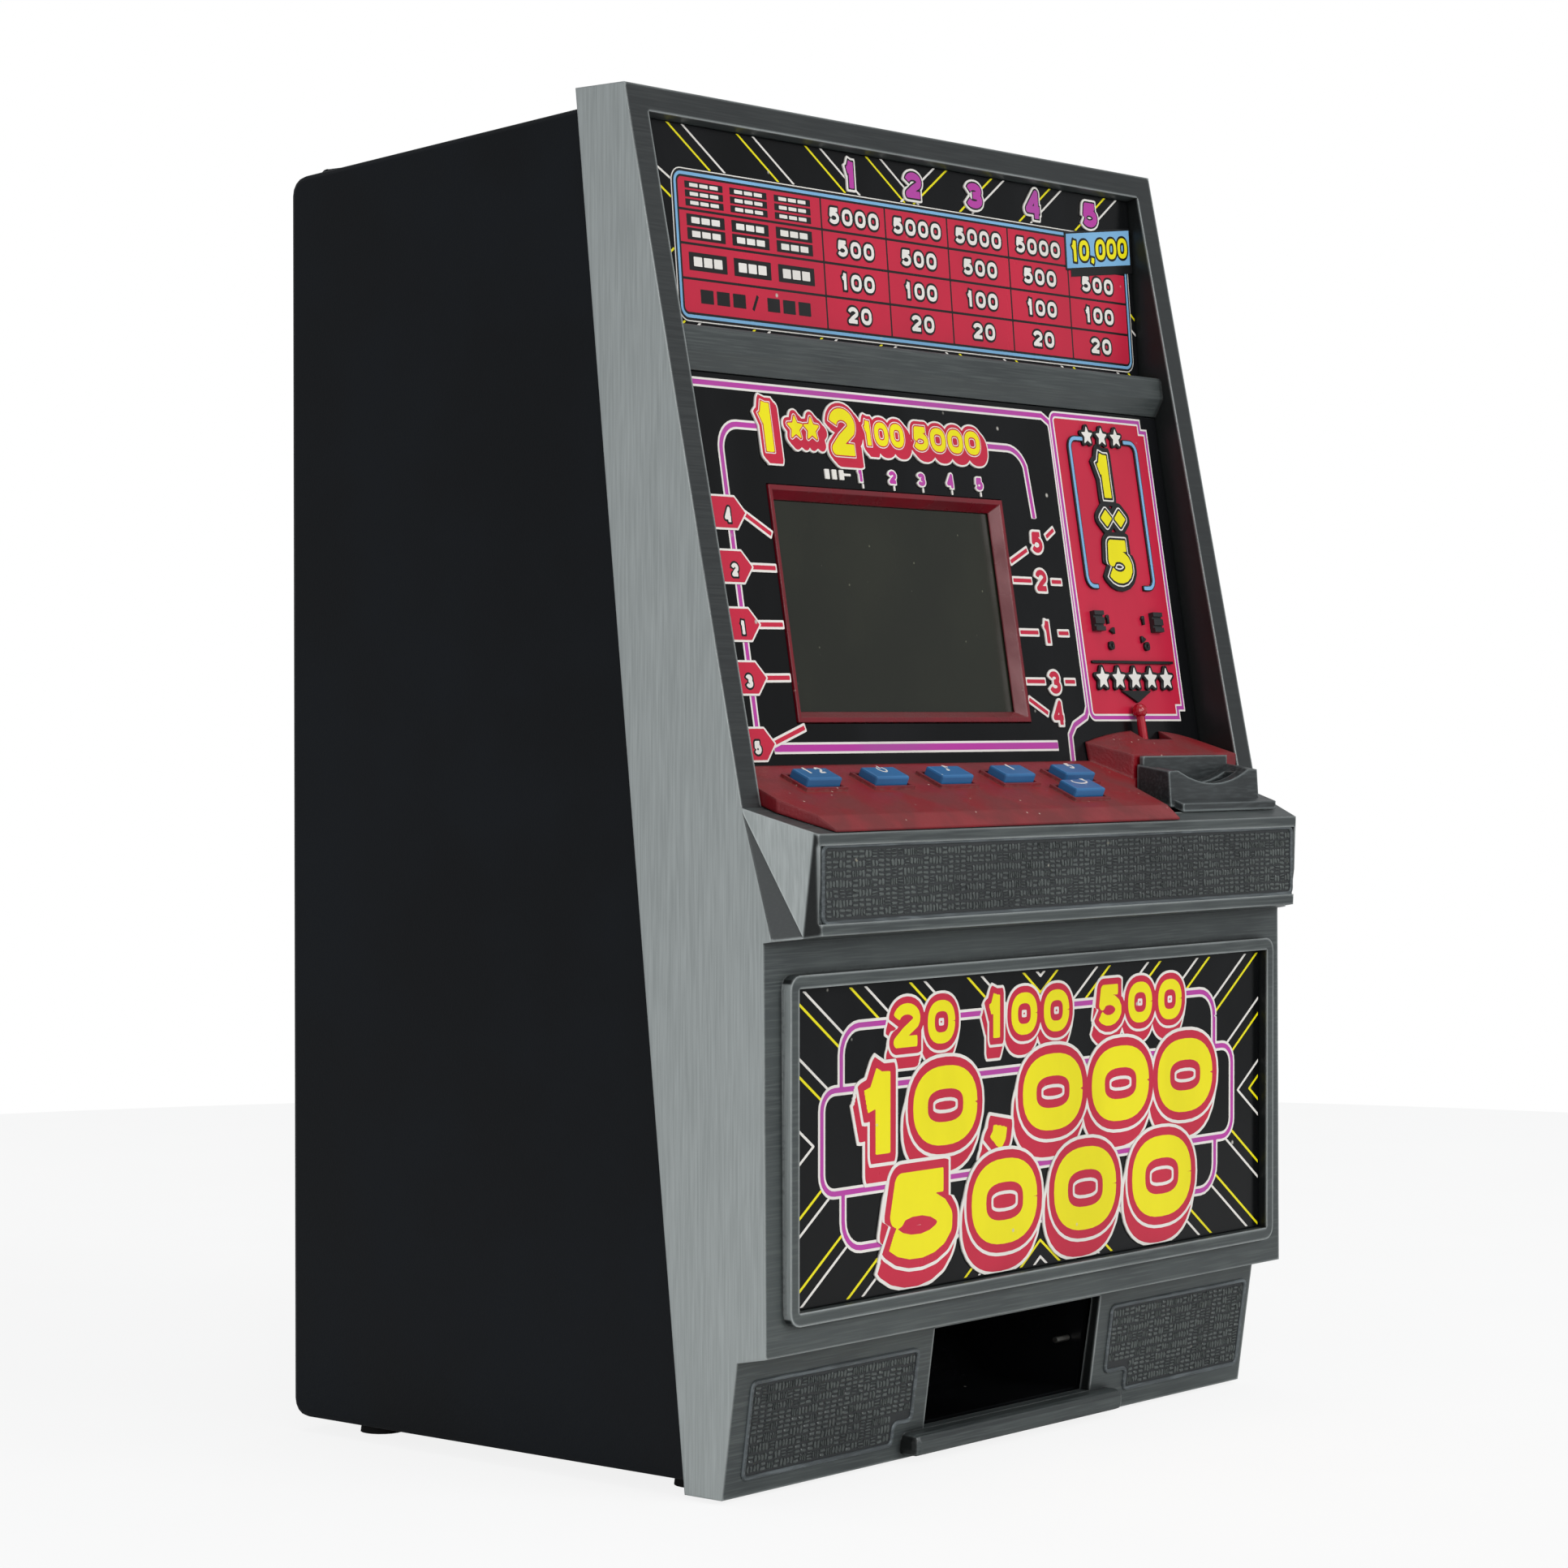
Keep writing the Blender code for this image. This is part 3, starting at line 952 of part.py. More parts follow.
def rear_door():
    low = DOOR_LOW + RUN
    high = DOOR_HIGH - 1.0
    half = DOOR_HALF - RUN
    door = box("rear_door", (-half, half), (0.2, DOOR_THICK), (low, high), BLACK)
    rib = box("door_rib", (-half + 6, half - 6), (DOOR_THICK - 0.6, DOOR_THICK + 3.0), (low + 8, high - 8))
    cut(rib, box("door_rib_inside", (-half + 7.6, half - 7.6), (-2, DOOR_THICK + 6), (low + 9.6, high - 9.6)))
    join(door, rib)
    inner = LUG_IN - RUN
    for hand in (-1, 1):
        span = sorted((hand * (inner - EAR), hand * inner))
        arm = box("door_ear", span, (0.4, DOOR_THICK), (high - 6, HINGE_Z))
        barrel = rod("ear_barrel", KNUCKLE_R, (span[0], -HINGE_F, HINGE_Z), (span[1], -HINGE_F, HINGE_Z),
                     sides=18)
        web = box("ear_web", span, (0.4, HINGE_F), (HINGE_Z - 1.2, HINGE_Z + 1.2))
        join(door, arm, web, barrel)
        cut(door, rod("ear_bore", PIN_R + GAP, (span[0] - 2, -HINGE_F, HINGE_Z),
                      (span[1] + 2, -HINGE_F, HINGE_Z), sides=12))
        side = "left" if hand < 0 else "right"
        rod("hinge_pin_" + side, PIN_R, (hand * (inner - EAR + 0.3), -HINGE_F, HINGE_Z),
            (hand * (LUG_OUT - GAP), -HINGE_F, HINGE_Z), STEEL, sides=12)
    put_origin(door, (0, -HINGE_F, HINGE_Z))


def battery_bay():
    half = CELL_PITCH * 1.5 + 1.4
    front = BAY_FRONT_F
    back = front - CELL_L - 8
    floor = BODY_LOW + WALL + GAP
    top = floor + CELL_D + 2.4
    bay = box("battery_box", (BAY_X - half, BAY_X + half), (back, front), (floor, top), BLACK)
    inner = half - 1.4
    cut(bay, box("bay_inside", (BAY_X - inner, BAY_X + inner), (back + 1.4, front - 1.4), (0, top - 1.4)))
    box("battery_cover", (BAY_X - half - 2, BAY_X + half + 2), (back - 2, front + 2),
        (BODY_LOW, BODY_LOW + COVER), BLACK)
    centre = floor + CELL_D / 2 + 0.2
    for number in range(3):
        across = BAY_X + CELL_PITCH * (number - 1)
        start = back + 4.2
        end = start + CELL_L
        cell = rod("battery_%d" % (number + 1), CELL_D / 2, (across, -start, centre),
                   (across, 1.2 - end, centre), CELL, sides=20)
        join(cell, rod("cell_tip", 2.7, (across, 2 - end, centre), (across, -end, centre), sides=10))
    for name, spot in (("front", front - 1.4 - GAP - 0.5), ("rear", back + 1.4 + GAP)):
        box("battery_contact_" + name, (BAY_X - half + 2.4, BAY_X + half - 2.4), (spot, spot + 0.5),
            (floor + 2, top - 2.4), STEEL)


def speaker():
    floor = BODY_LOW + WALL + GAP
    basket = rod("speaker_basket", SPEAKER_R, (SPEAKER_X, -SPEAKER_F, floor),
                 (SPEAKER_X, -SPEAKER_F, floor + 3.0), STEEL, sides=28)
    join(basket, rod("speaker_neck", SPEAKER_R - 6, (SPEAKER_X, -SPEAKER_F, floor + 2.4),
                     (SPEAKER_X, -SPEAKER_F, floor + 8), sides=24))
    join(basket, rod("speaker_magnet", SPEAKER_R - 9, (SPEAKER_X, -SPEAKER_F, floor + 7.4),
                     (SPEAKER_X, -SPEAKER_F, floor + 13), sides=24))
    cut(basket, rod("basket_inside", SPEAKER_R - 1.6, (SPEAKER_X, -SPEAKER_F, floor - 1),
                    (SPEAKER_X, -SPEAKER_F, floor + 6.6), sides=28, end_radius=SPEAKER_R - 12))
    rod("speaker_cone", SPEAKER_R - 4.6, (SPEAKER_X, -SPEAKER_F, floor + 0.5),
        (SPEAKER_X, -SPEAKER_F, floor + 4.0), PAPER, sides=24, end_radius=SPEAKER_R - 9.4)


def feet():
    for side, across in zip(("left", "right"), FOOT_X):
        for end, along in zip(("rear", "front"), FOOT_F):
            rod("foot_%s_%s" % (end, side), FOOT_R, (across, -along, -FOOT_DROP),
                (across, -along, BODY_LOW - GAP), RUBBER, sides=20, end_radius=FOOT_R - 0.4)


front_frame()
screws()
printed_panels()
display()
switches()
button_deck()
buttons()
coin_mouth()
coin_path()
coin_bin()
payout_gate()
winner_lever()
coin_tray()
rear_shell()
rear_door()
battery_bay()
speaker()
feet()
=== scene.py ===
# Toy slot machine and coin bank: finishes, print, moulded textures, light and camera.
# Lengths are millimetres unless a line says metres. x runs to the right, y to the back and z up.
# On the leaning front, s runs down the slope from the crown's top edge.
import math
import random

import bmesh
import bpy
import numpy as np
from mathutils import Matrix, Vector


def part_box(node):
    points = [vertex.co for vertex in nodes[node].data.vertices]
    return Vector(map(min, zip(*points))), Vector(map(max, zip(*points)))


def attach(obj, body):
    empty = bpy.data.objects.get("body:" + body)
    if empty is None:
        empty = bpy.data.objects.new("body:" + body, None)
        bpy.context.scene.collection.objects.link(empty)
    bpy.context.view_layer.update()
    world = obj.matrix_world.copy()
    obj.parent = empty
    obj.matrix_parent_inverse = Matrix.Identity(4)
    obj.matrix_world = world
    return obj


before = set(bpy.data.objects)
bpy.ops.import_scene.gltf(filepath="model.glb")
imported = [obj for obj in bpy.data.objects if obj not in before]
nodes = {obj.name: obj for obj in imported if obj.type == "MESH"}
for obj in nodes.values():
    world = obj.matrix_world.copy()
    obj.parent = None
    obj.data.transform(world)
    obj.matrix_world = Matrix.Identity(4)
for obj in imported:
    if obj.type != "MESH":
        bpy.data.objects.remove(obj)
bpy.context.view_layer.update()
print("frame loaded,", len(nodes), "nodes")

mm = 0.001


def linear(hexColour):
    # sRGB hex to linear, with full opacity
    parts = [int(hexColour[i:i + 2], 16) / 255 for i in (1, 3, 5)]
    return tuple(c / 12.92 if c <= 0.04045 else ((c + 0.055) / 1.055) ** 2.4 for c in parts) + (1.0,)


def perMetre(size):
    # a texture scale from the size of one feature in millimetres
    return 1000.0 / size


def addNode(tree, kind, settings=None, links=None):
    node = tree.nodes.new(kind)
    for key, value in (settings or {}).items():
        if isinstance(key, int) or key in node.inputs:
            node.inputs[key].default_value = value
        else:
            setattr(node, key, value)
    for key, socket in (links or {}).items():
        tree.links.new(socket, node.inputs[key])
    return node


def startMaterial(name):
    made = bpy.data.materials.new(name)
    made.use_nodes = True
    tree = made.node_tree
    shader = tree.nodes["Principled BSDF"]
    place = addNode(tree, "ShaderNodeTexCoord").outputs["Object"]
    return made, tree, shader, place


def noiseAt(tree, place, size, detail=2.0, stretch=None):
    # soft noise with features of that size; stretch gives the length ratio along x, y and z
    if stretch:
        scale = tuple(1.0 / k for k in stretch)
        place = addNode(tree, "ShaderNodeMapping", {"Scale": scale}, {"Vector": place}).outputs[0]
    made = addNode(tree, "ShaderNodeTexNoise", {"Scale": perMetre(size), "Detail": detail}, {"Vector": place})
    return made.outputs["Fac"]


def spread(tree, value, low, high, outLow=0.0, outHigh=1.0):
    made = addNode(tree, "ShaderNodeMapRange", {"interpolation_type": "SMOOTHSTEP", "From Min": low,
                                                "From Max": high, "To Min": outLow, "To Max": outHigh},
                   {"Value": value})
    return made.outputs["Result"]


def blendColour(tree, amount, first, second, kind="MIX"):
    made = addNode(tree, "ShaderNodeMix", {"data_type": "RGBA", "blend_type": kind})
    for index, part in ((6, first), (7, second)):
        if isinstance(part, tuple):
            made.inputs[index].default_value = part
        else:
            tree.links.new(part, made.inputs[index])
    if isinstance(amount, float):
        made.inputs[0].default_value = amount
    else:
        tree.links.new(amount, made.inputs[0])
    return made.outputs[2]


def calc(tree, operation, first, second):
    made = addNode(tree, "ShaderNodeMath", {"operation": operation, "use_clamp": operation != "SUBTRACT"})
    for index, part in enumerate((first, second)):
        if isinstance(part, float):
            made.inputs[index].default_value = part
        else:
            tree.links.new(part, made.inputs[index])
    return made.outputs[0]


def addBump(tree, shader, height, depth, rounding=0.0):
    # fine relief; rounding softens the outer edges by that radius
    made = addNode(tree, "ShaderNodeBump", {"Strength": 1.0, "Distance": depth * mm}, {"Height": height})
    if rounding:
        soft = addNode(tree, "ShaderNodeBevel", {"samples": 4, "Radius": rounding * mm})
        tree.links.new(soft.outputs[0], made.inputs["Normal"])
    tree.links.new(made.outputs[0], shader.inputs["Normal"])


def dustSpecks(tree, place, size, share):
    # small pale specks: 1 where a speck lies
    cells = addNode(tree, "ShaderNodeTexVoronoi", {"Scale": perMetre(size), "Randomness": 1.0},
                    {"Vector": place})
    near = spread(tree, cells.outputs["Distance"], 0.05, 0.16, 1.0, 0.0)
    pick = addNode(tree, "ShaderNodeSeparateColor", {}, {0: cells.outputs["Color"]}).outputs[0]
    chosen = spread(tree, pick, 1.0 - share, 1.0 - share + 0.02)
    return calc(tree, "MULTIPLY", near, chosen)


def crevice(tree, reach, low, high):
    # 1 in inner corners and slots, 0 on open faces
    made = addNode(tree, "ShaderNodeAmbientOcclusion", {"samples": 8, "only_local": True,
                                                        "Distance": reach * mm})
    return spread(tree, made.outputs["AO"], low, high, 1.0, 0.0)


def edgeWearAndHighlight(tree, reach):
    # 1 on outer edges, where the solid's own faces close in from the inside
    made = addNode(tree, "ShaderNodeAmbientOcclusion", {"samples": 8, "only_local": True, "inside": True,
                                                        "Distance": reach * mm})
    return spread(tree, made.outputs["AO"], 0.45, 0.9, 1.0, 0.0)


def mouldedAbs(name, look):
    # ABS, injection moulded: spark-eroded tool grain gives a soft sheen, hands leave rub marks
    made, tree, shader, place = startMaterial(name)
    grain = noiseAt(tree, place, look["grain"], 3.0)
    cloud = noiseAt(tree, place, 38.0, 4.0)
    tone = blendColour(tree, spread(tree, cloud, 0.35, 0.68), linear(look["colour"]), linear(look["rubbed"]))
    dust = dustSpecks(tree, place, look.get("speckSize", 3.2), look.get("specks", 0.03))
    tone = blendColour(tree, dust, tone, linear(look.get("dust", "#8d8b84")))
    tree.links.new(tone, shader.inputs["Base Color"])
    rough = spread(tree, cloud, 0.3, 0.7, look["rough"], look["rough"] + 0.12)
    tree.links.new(rough, shader.inputs["Roughness"])
    shader.inputs["Specular IOR Level"].default_value = look.get("gloss", 0.5)
    addBump(tree, shader, grain, look["depth"], look.get("rounding", 0.0))
    return made


def rubbedSilver(name, look):
    # black ABS sprayed silver and rubbed back: brushed and pale on the cheeks, darker on the front,
    # black where the rag did not reach and bright where it went over an edge;
    # the pale cheeks against the darker front are partly painted light, the black in corners and slots is partly
    # painted shade, faces that lean back get a painted shade and the bright edges are partly a painted highlight
    made, tree, shader, place = startMaterial(name)
    shape = addNode(tree, "ShaderNodeNewGeometry").outputs
    facing = addNode(tree, "ShaderNodeSeparateXYZ", {}, {0: shape["Normal"]})
    spot = addNode(tree, "ShaderNodeSeparateXYZ", {}, {0: shape["Position"]})
    across, out = (addNode(tree, "ShaderNodeMath", {"operation": "ABSOLUTE"}, {0: part.outputs["X"]}).outputs[0]
                   for part in (facing, spot))
    outer = spread(tree, out, look["outer"] * mm, (look["outer"] + 0.3) * mm)
    sideways = spread(tree, across, 0.55, 0.9)
    cheek = calc(tree, "MULTIPLY", sideways, outer)
    inner = calc(tree, "MULTIPLY", calc(tree, "SUBTRACT", sideways, cheek), look["inner"])
    upDown = noiseAt(tree, place, look["streak"], 3.0, (1.0, 1.0, look["stretch"]))
    level = noiseAt(tree, place, look["streak"], 3.0, (look["stretch"], 1.0, 1.0))
    streak = calc(tree, "ADD", calc(tree, "MULTIPLY", upDown, cheek),
                  calc(tree, "MULTIPLY", level, calc(tree, "SUBTRACT", 1.0, cheek)))
    cloud = noiseAt(tree, place, 30.0, 4.0)
    # painted shade: faces that lean back a little are blended towards a dark tone by the thin amount, standing in
    # for the light they reflect less of
    leaning = calc(tree, "MULTIPLY", spread(tree, facing.outputs["Z"], 0.09, 0.17),
                   spread(tree, facing.outputs["Z"], 0.3, 0.5, 1.0, 0.0))
    front = blendColour(tree, spread(tree, cloud, 0.3, 0.7), linear(look["frontDark"]), linear(look["front"]))
    front = blendColour(tree, spread(tree, streak, 0.42, 0.72), front, linear(look["frontPale"]))
    front = blendColour(tree, calc(tree, "MULTIPLY", leaning, look["thin"]), front, linear(look["leanShadeColour"]))
    # painted light: the pale cheek tone is part rubbed silver, part painted light, set against the darker front
    side = blendColour(tree, spread(tree, streak, 0.2, 0.85), linear(look["side"]), linear(look["sidePale"]))
    tone = blendColour(tree, cheek, front, side)
    tone = blendColour(tree, inner, tone, linear(look["black"]))
    # outer edges turned pale: part worn paint, part painted highlight
    edge = calc(tree, "MULTIPLY", edgeWearAndHighlight(tree, look["edge"]), spread(tree, cloud, 0.15, 0.6, 0.35, 0.9))
    tone = blendColour(tree, edge, tone, linear(look["edgePale"]))
    # painted shade: corners and slots within reach go black, broken up by a speckle; part of it is the black ABS
    # the rag left bare
    speckle = spread(tree, noiseAt(tree, place, 0.9, 2.0), 0.5, 0.62, 0.75, 1.0)
    deep = calc(tree, "MULTIPLY", crevice(tree, look["deep"], 0.3, 0.85), speckle)
    tone = blendColour(tree, deep, tone, linear(look["black"]))
    tree.links.new(tone, shader.inputs["Base Color"])
    rough = spread(tree, streak, 0.3, 0.7, look["rough"], look["rough"] + 0.14)
    tree.links.new(rough, shader.inputs["Roughness"])
    shader.inputs["Metallic"].default_value = look["metallic"]
    addBump(tree, shader, streak, look["depth"], look["rounding"])
    return made


def printedSheet(name, look):
    # screen-printed polyester: one flat ink colour under a glossy face with faint wipe marks
    made, tree, shader, place = startMaterial(name)
    wipe = noiseAt(tree, place, 26.0, 5.0, (1.0, 1.0, 2.5))
    fibre = noiseAt(tree, place, 0.5, 2.0)
    tone = blendColour(tree, spread(tree, wipe, 0.35, 0.7), linear(look["colour"]), linear(look["faded"]))
    tone = blendColour(tree, dustSpecks(tree, place, 4.0, look.get("specks", 0.05)), tone, linear("#b9b6ad"))
    tree.links.new(tone, shader.inputs["Base Color"])
    rough = spread(tree, wipe, 0.3, 0.75, look["rough"], look["rough"] + 0.12)
    tree.links.new(rough, shader.inputs["Roughness"])
    shader.inputs["Specular IOR Level"].default_value = look.get("gloss", 0.35)
    addBump(tree, shader, fibre, 0.004)
    return made


def plainMetal(name, colour, rough, grain=0.25, metallic=1.0):
    # drawn or plated metal: fine lines along its length
    made, tree, shader, place = startMaterial(name)
    lines = noiseAt(tree, place, grain, 2.0, (4.0, 1.0, 1.0))
    tone = blendColour(tree, spread(tree, lines, 0.3, 0.7), linear(colour), linear("#5b5a58"))
    tree.links.new(blendColour(tree, 0.25, linear(colour), tone), shader.inputs["Base Color"])
    shader.inputs["Metallic"].default_value = metallic
    tree.links.new(spread(tree, lines, 0.3, 0.7, rough, rough + 0.15), shader.inputs["Roughness"])
    addBump(tree, shader, lines, 0.01)
    return made


def dustyRed(name, look):
    # red ABS, moulded with a coarse spark grain; house dust sits on the upward faces and in corners
    made, tree, shader, place = startMaterial(name)
    grain = noiseAt(tree, place, 0.55, 3.0)
    cloud = noiseAt(tree, place, 9.0, 4.0)
    lint = noiseAt(tree, place, 0.8, 4.0)
    shape = addNode(tree, "ShaderNodeNewGeometry").outputs
    up = addNode(tree, "ShaderNodeSeparateXYZ", {}, {0: shape["Normal"]})
    flat = spread(tree, up.outputs["Z"], 0.35, 0.9)
    film = calc(tree, "MULTIPLY", flat, spread(tree, cloud, 0.25, 0.75, 0.1, look["film"]))
    heap = calc(tree, "MULTIPLY", crevice(tree, 2.2, 0.35, 0.8), spread(tree, lint, 0.4, 0.6, 0.1, 0.75))
    tone = blendColour(tree, spread(tree, cloud, 0.3, 0.7), linear(look["colour"]), linear(look["deep"]))
    tone = blendColour(tree, film, tone, linear(look["dust"]))
    tone = blendColour(tree, calc(tree, "MULTIPLY", heap, look["heap"]), tone, linear(look["dust"]))
    specks = dustSpecks(tree, place, 2.0, look["specks"])
    tone = blendColour(tree, specks, tone, linear("#cbb8a8"))
    tree.links.new(tone, shader.inputs["Base Color"])
    rough = spread(tree, cloud, 0.3, 0.7, look["rough"], look["rough"] + 0.2)
    tree.links.new(rough, shader.inputs["Roughness"])
    addBump(tree, shader, grain, look["depth"], look["rounding"])
    return made


blackAbs = mouldedAbs("blackAbsSparkGrain", {"colour": "#0d1014", "rubbed": "#12161b", "grain": 0.5, "depth": 0.03,
                                             "rough": 0.42, "specks": 0.02, "dust": "#4c4f52", "gloss": 0.15,
                                             "rounding": 0.6})
trayAbs = mouldedAbs("blackAbsPolished", {"colour": "#08090a", "rubbed": "#0e0f11", "grain": 2.0, "depth": 0.01,
                                          "rough": 0.16, "specks": 0.05})
knobAbs = mouldedAbs("blackAbsKnob", {"colour": "#101113", "rubbed": "#1c1d20", "grain": 0.4, "depth": 0.02,
                                      "rough": 0.4})
# the side tones carry painted light as well as paint; thin and its colour set a painted shade on faces that lean
# back
silverPaint = rubbedSilver("silverPaintRubbedOnAbs", {
    "streak": 0.4, "stretch": 34.0, "frontDark": "#3f4445", "front": "#4a5050", "frontPale": "#555b5a",
    "side": "#aab0af", "sidePale": "#c3c9c8", "edgePale": "#b1b7b6", "black": "#121414", "edge": 0.9, "deep": 3.2,
    "thin": 0.85, "leanShadeColour": "#222526", "outer": 89.9, "inner": 0.9, "rough": 0.34, "metallic": 0.35,
    "depth": 0.006, "rounding": 0.5})
# a darker copy of the rubbed silver for the coin mouth; its thin amount is painted shade on faces that lean back,
# and its corners take the same painted shade
headPaint = rubbedSilver("silverPaintDarkerOnCoinMouth", {
    "streak": 0.6, "stretch": 8.0, "frontDark": "#2b2f30", "front": "#373b3c", "frontPale": "#414647",
    "side": "#303435", "sidePale": "#3c4142", "edgePale": "#8d9595", "black": "#0e0f0f", "edge": 0.8, "deep": 1.6,
    "thin": 0.3, "leanShadeColour": "#292d2e", "outer": 89.9, "inner": 0.0, "rough": 0.28, "metallic": 0.25,
    "depth": 0.006, "rounding": 0.6})
blackSheet = printedSheet("blackInkOnPolyester", {"colour": "#0a0b0c", "faded": "#111214", "rough": 0.16,
                                                  "gloss": 0.15})
whiteInk = printedSheet("whiteScreenInk", {"colour": "#e9e5df", "faded": "#dcd8d1", "rough": 0.3})
yellowInk = printedSheet("yellowScreenInk", {"colour": "#f0e407", "faded": "#e4d805", "rough": 0.3})
magentaInk = printedSheet("magentaScreenInk", {"colour": "#b8379f", "faded": "#a9479b", "rough": 0.3})
redInk = printedSheet("redScreenInk", {"colour": "#c5213f", "faded": "#b81d3a", "rough": 0.26})
skyInk = printedSheet("skyBlueScreenInk", {"colour": "#7fb4dc", "faded": "#74a6cc", "rough": 0.3})
blackInk = printedSheet("blackScreenInk", {"colour": "#0c0c0d", "faded": "#111112", "rough": 0.24})
deckRed = dustyRed("redAbsCoarseGrainDusty", {"colour": "#860718", "deep": "#680813", "dust": "#8b5c55",
                                              "film": 0.15, "heap": 0.85, "specks": 0.16, "rough": 0.34,
                                              "depth": 0.07, "rounding": 0.8})
bezelRed = dustyRed("redAbsGlossy", {"colour": "#760a1b", "deep": "#640817", "dust": "#a58c88", "film": 0.15,
                                     "heap": 0.3, "specks": 0.03, "rough": 0.14, "depth": 0.01,
                                     "rounding": 0.4})
leverRed = mouldedAbs("redPolystyreneClear", {"colour": "#b01026", "rubbed": "#9a0d20", "grain": 1.5, "depth": 0.01,
                                              "rough": 0.12, "specks": 0.0})
buttonBlue = mouldedAbs("blueAbsSatin", {"colour": "#2d6da3", "rubbed": "#27608f", "grain": 0.7, "depth": 0.015,
                                         "rough": 0.3, "specks": 0.1, "speckSize": 1.6, "dust": "#9fb3c0"})
windowGlass = mouldedAbs("smokedAcrylicWindow", {"colour": "#1f211a", "rubbed": "#24261d", "grain": 6.0,
                                                 "depth": 0.0, "rough": 0.13, "gloss": 0.3, "specks": 0.08,
                                                 "speckSize": 2.2, "dust": "#5d5f50"})
greenBoard = mouldedAbs("glassEpoxyBoardGreenMask", {"colour": "#0f4a2a", "rubbed": "#13552f", "grain": 1.0,
                                                     "depth": 0.01, "rough": 0.32})
steel = plainMetal("zincPlatedSteel", "#a9a8a2", 0.3)
brass = plainMetal("nickelPlatedSpringStrip", "#b9b4a6", 0.25)
rubber = mouldedAbs("blackRubberFoot", {"colour": "#161616", "rubbed": "#202020", "grain": 0.8, "depth": 0.04,
                                        "rough": 0.75})
siliconeGrey = mouldedAbs("greySiliconeMembrane", {"colour": "#6d7072", "rubbed": "#63676a", "grain": 0.8,
                                                   "depth": 0.02, "rough": 0.6})
cellSleeve = mouldedAbs("shrunkCellSleeve", {"colour": "#23415f", "rubbed": "#1d3650", "grain": 3.0, "depth": 0.01,
                                             "rough": 0.25})
conePaper = mouldedAbs("pressedPaperCone", {"colour": "#24211e", "rubbed": "#2c2824", "grain": 0.4, "depth": 0.05,
                                            "rough": 0.9})
print("materials made")

finishes = {
    silverPaint: ["front_frame"],
    headPaint: ["coin_mouth"],
    blackAbs: ["rear_shell", "rear_door", "battery_cover", "coin_bin", "coin_chute", "payout_gate", "battery_box",
               "coin_switch"],
    trayAbs: ["coin_tray"],
    knobAbs: ["bell_switch_knob", "jackpot_switch_knob"],
    blackSheet: ["payout_sign", "game_panel", "belly_sign"],
    bezelRed: ["lcd_bezel"],
    deckRed: ["button_deck"],
    leverRed: ["winner_lever"],
    buttonBlue: ["player_button", "power_button", "sound_button", "bet_button", "max_bet_button", "spin_button"],
    windowGlass: ["lcd_window", "lcd_module"],
    greenBoard: ["main_board", "button_board"],
    siliconeGrey: ["button_membrane"],
    rubber: ["foot_front_left", "foot_front_right", "foot_rear_left", "foot_rear_right"],
    cellSleeve: ["battery_1", "battery_2", "battery_3"],
    brass: ["battery_contact_front", "battery_contact_rear"],
    conePaper: ["speaker_cone"],
}
for material, names in finishes.items():
    for name in names:
        for materialSlot in nodes[name].material_slots:
            materialSlot.material = material
painted = {name for names in finishes.values() for name in names}
for name, node in nodes.items():
    if name not in painted:
        for materialSlot in node.material_slots:
            materialSlot.material = steel
print("finishes on the CAD nodes, steel on", len(nodes) - len(painted))


# Flat print is drawn as distance fields on a fine grid: a shape is the area closer than its edge,
# so an outline is the same shape grown by its width. Each ink becomes one thin closed film.
def newField(left, right, low, high, pitch):
    across = np.arange(left, right + pitch / 2, pitch)
    along = np.arange(low, high + pitch / 2, pitch)
    u, v = np.meshgrid(across, along)
    return {"u": u, "v": v, "pitch": pitch, "left": left, "low": low, "edge": np.full(u.shape, 99.0)}


def windowOf(field, points, reach):
    # grid rows and columns near those points
    xs = [p[0] for p in points]
    ys = [p[1] for p in points]
    rows, columns = field["u"].shape
    j0 = max(0, int((min(xs) - reach - field["left"]) / field["pitch"]))
    j1 = min(columns, int((max(xs) + reach - field["left"]) / field["pitch"]) + 2)
    i0 = max(0, int((min(ys) - reach - field["low"]) / field["pitch"]))
    i1 = min(rows, int((max(ys) + reach - field["low"]) / field["pitch"]) + 2)
    return slice(i0, max(i0, i1)), slice(j0, max(j0, j1))


def addStroke(field, points, width, squareEnds=True, reach=6.0):
    # a line of that width through the points; square ends stop at the last point
    part = windowOf(field, points, width / 2 + reach)
    u, v = field["u"][part], field["v"][part]
    best = np.full(u.shape, 99.0)
    beyond = np.full(u.shape, -99.0)
    last = len(points) - 2
    for k in range(last + 1):
        (ax, ay), (bx, by) = points[k], points[k + 1]
        dx, dy = bx - ax, by - ay
        length = math.hypot(dx, dy)
        if length < 1e-6:
            continue
        t = ((u - ax) * dx + (v - ay) * dy) / length
        near = np.hypot(u - ax - dx * np.clip(t, 0, length) / length, v - ay - dy * np.clip(t, 0, length) / length)
        over = np.full(u.shape, -99.0)
        if k == 0:
            over = np.where(t < 0, -t, over)
        if k == last:
            over = np.where(t > length, t - length, over)
        closer = near < best
        best = np.where(closer, near, best)
        beyond = np.where(closer, over, beyond)
    shape = best - width / 2
    if squareEnds:
        shape = np.where(beyond > 0, np.maximum(shape, beyond), shape)
    field["edge"][part] = np.minimum(field["edge"][part], shape)


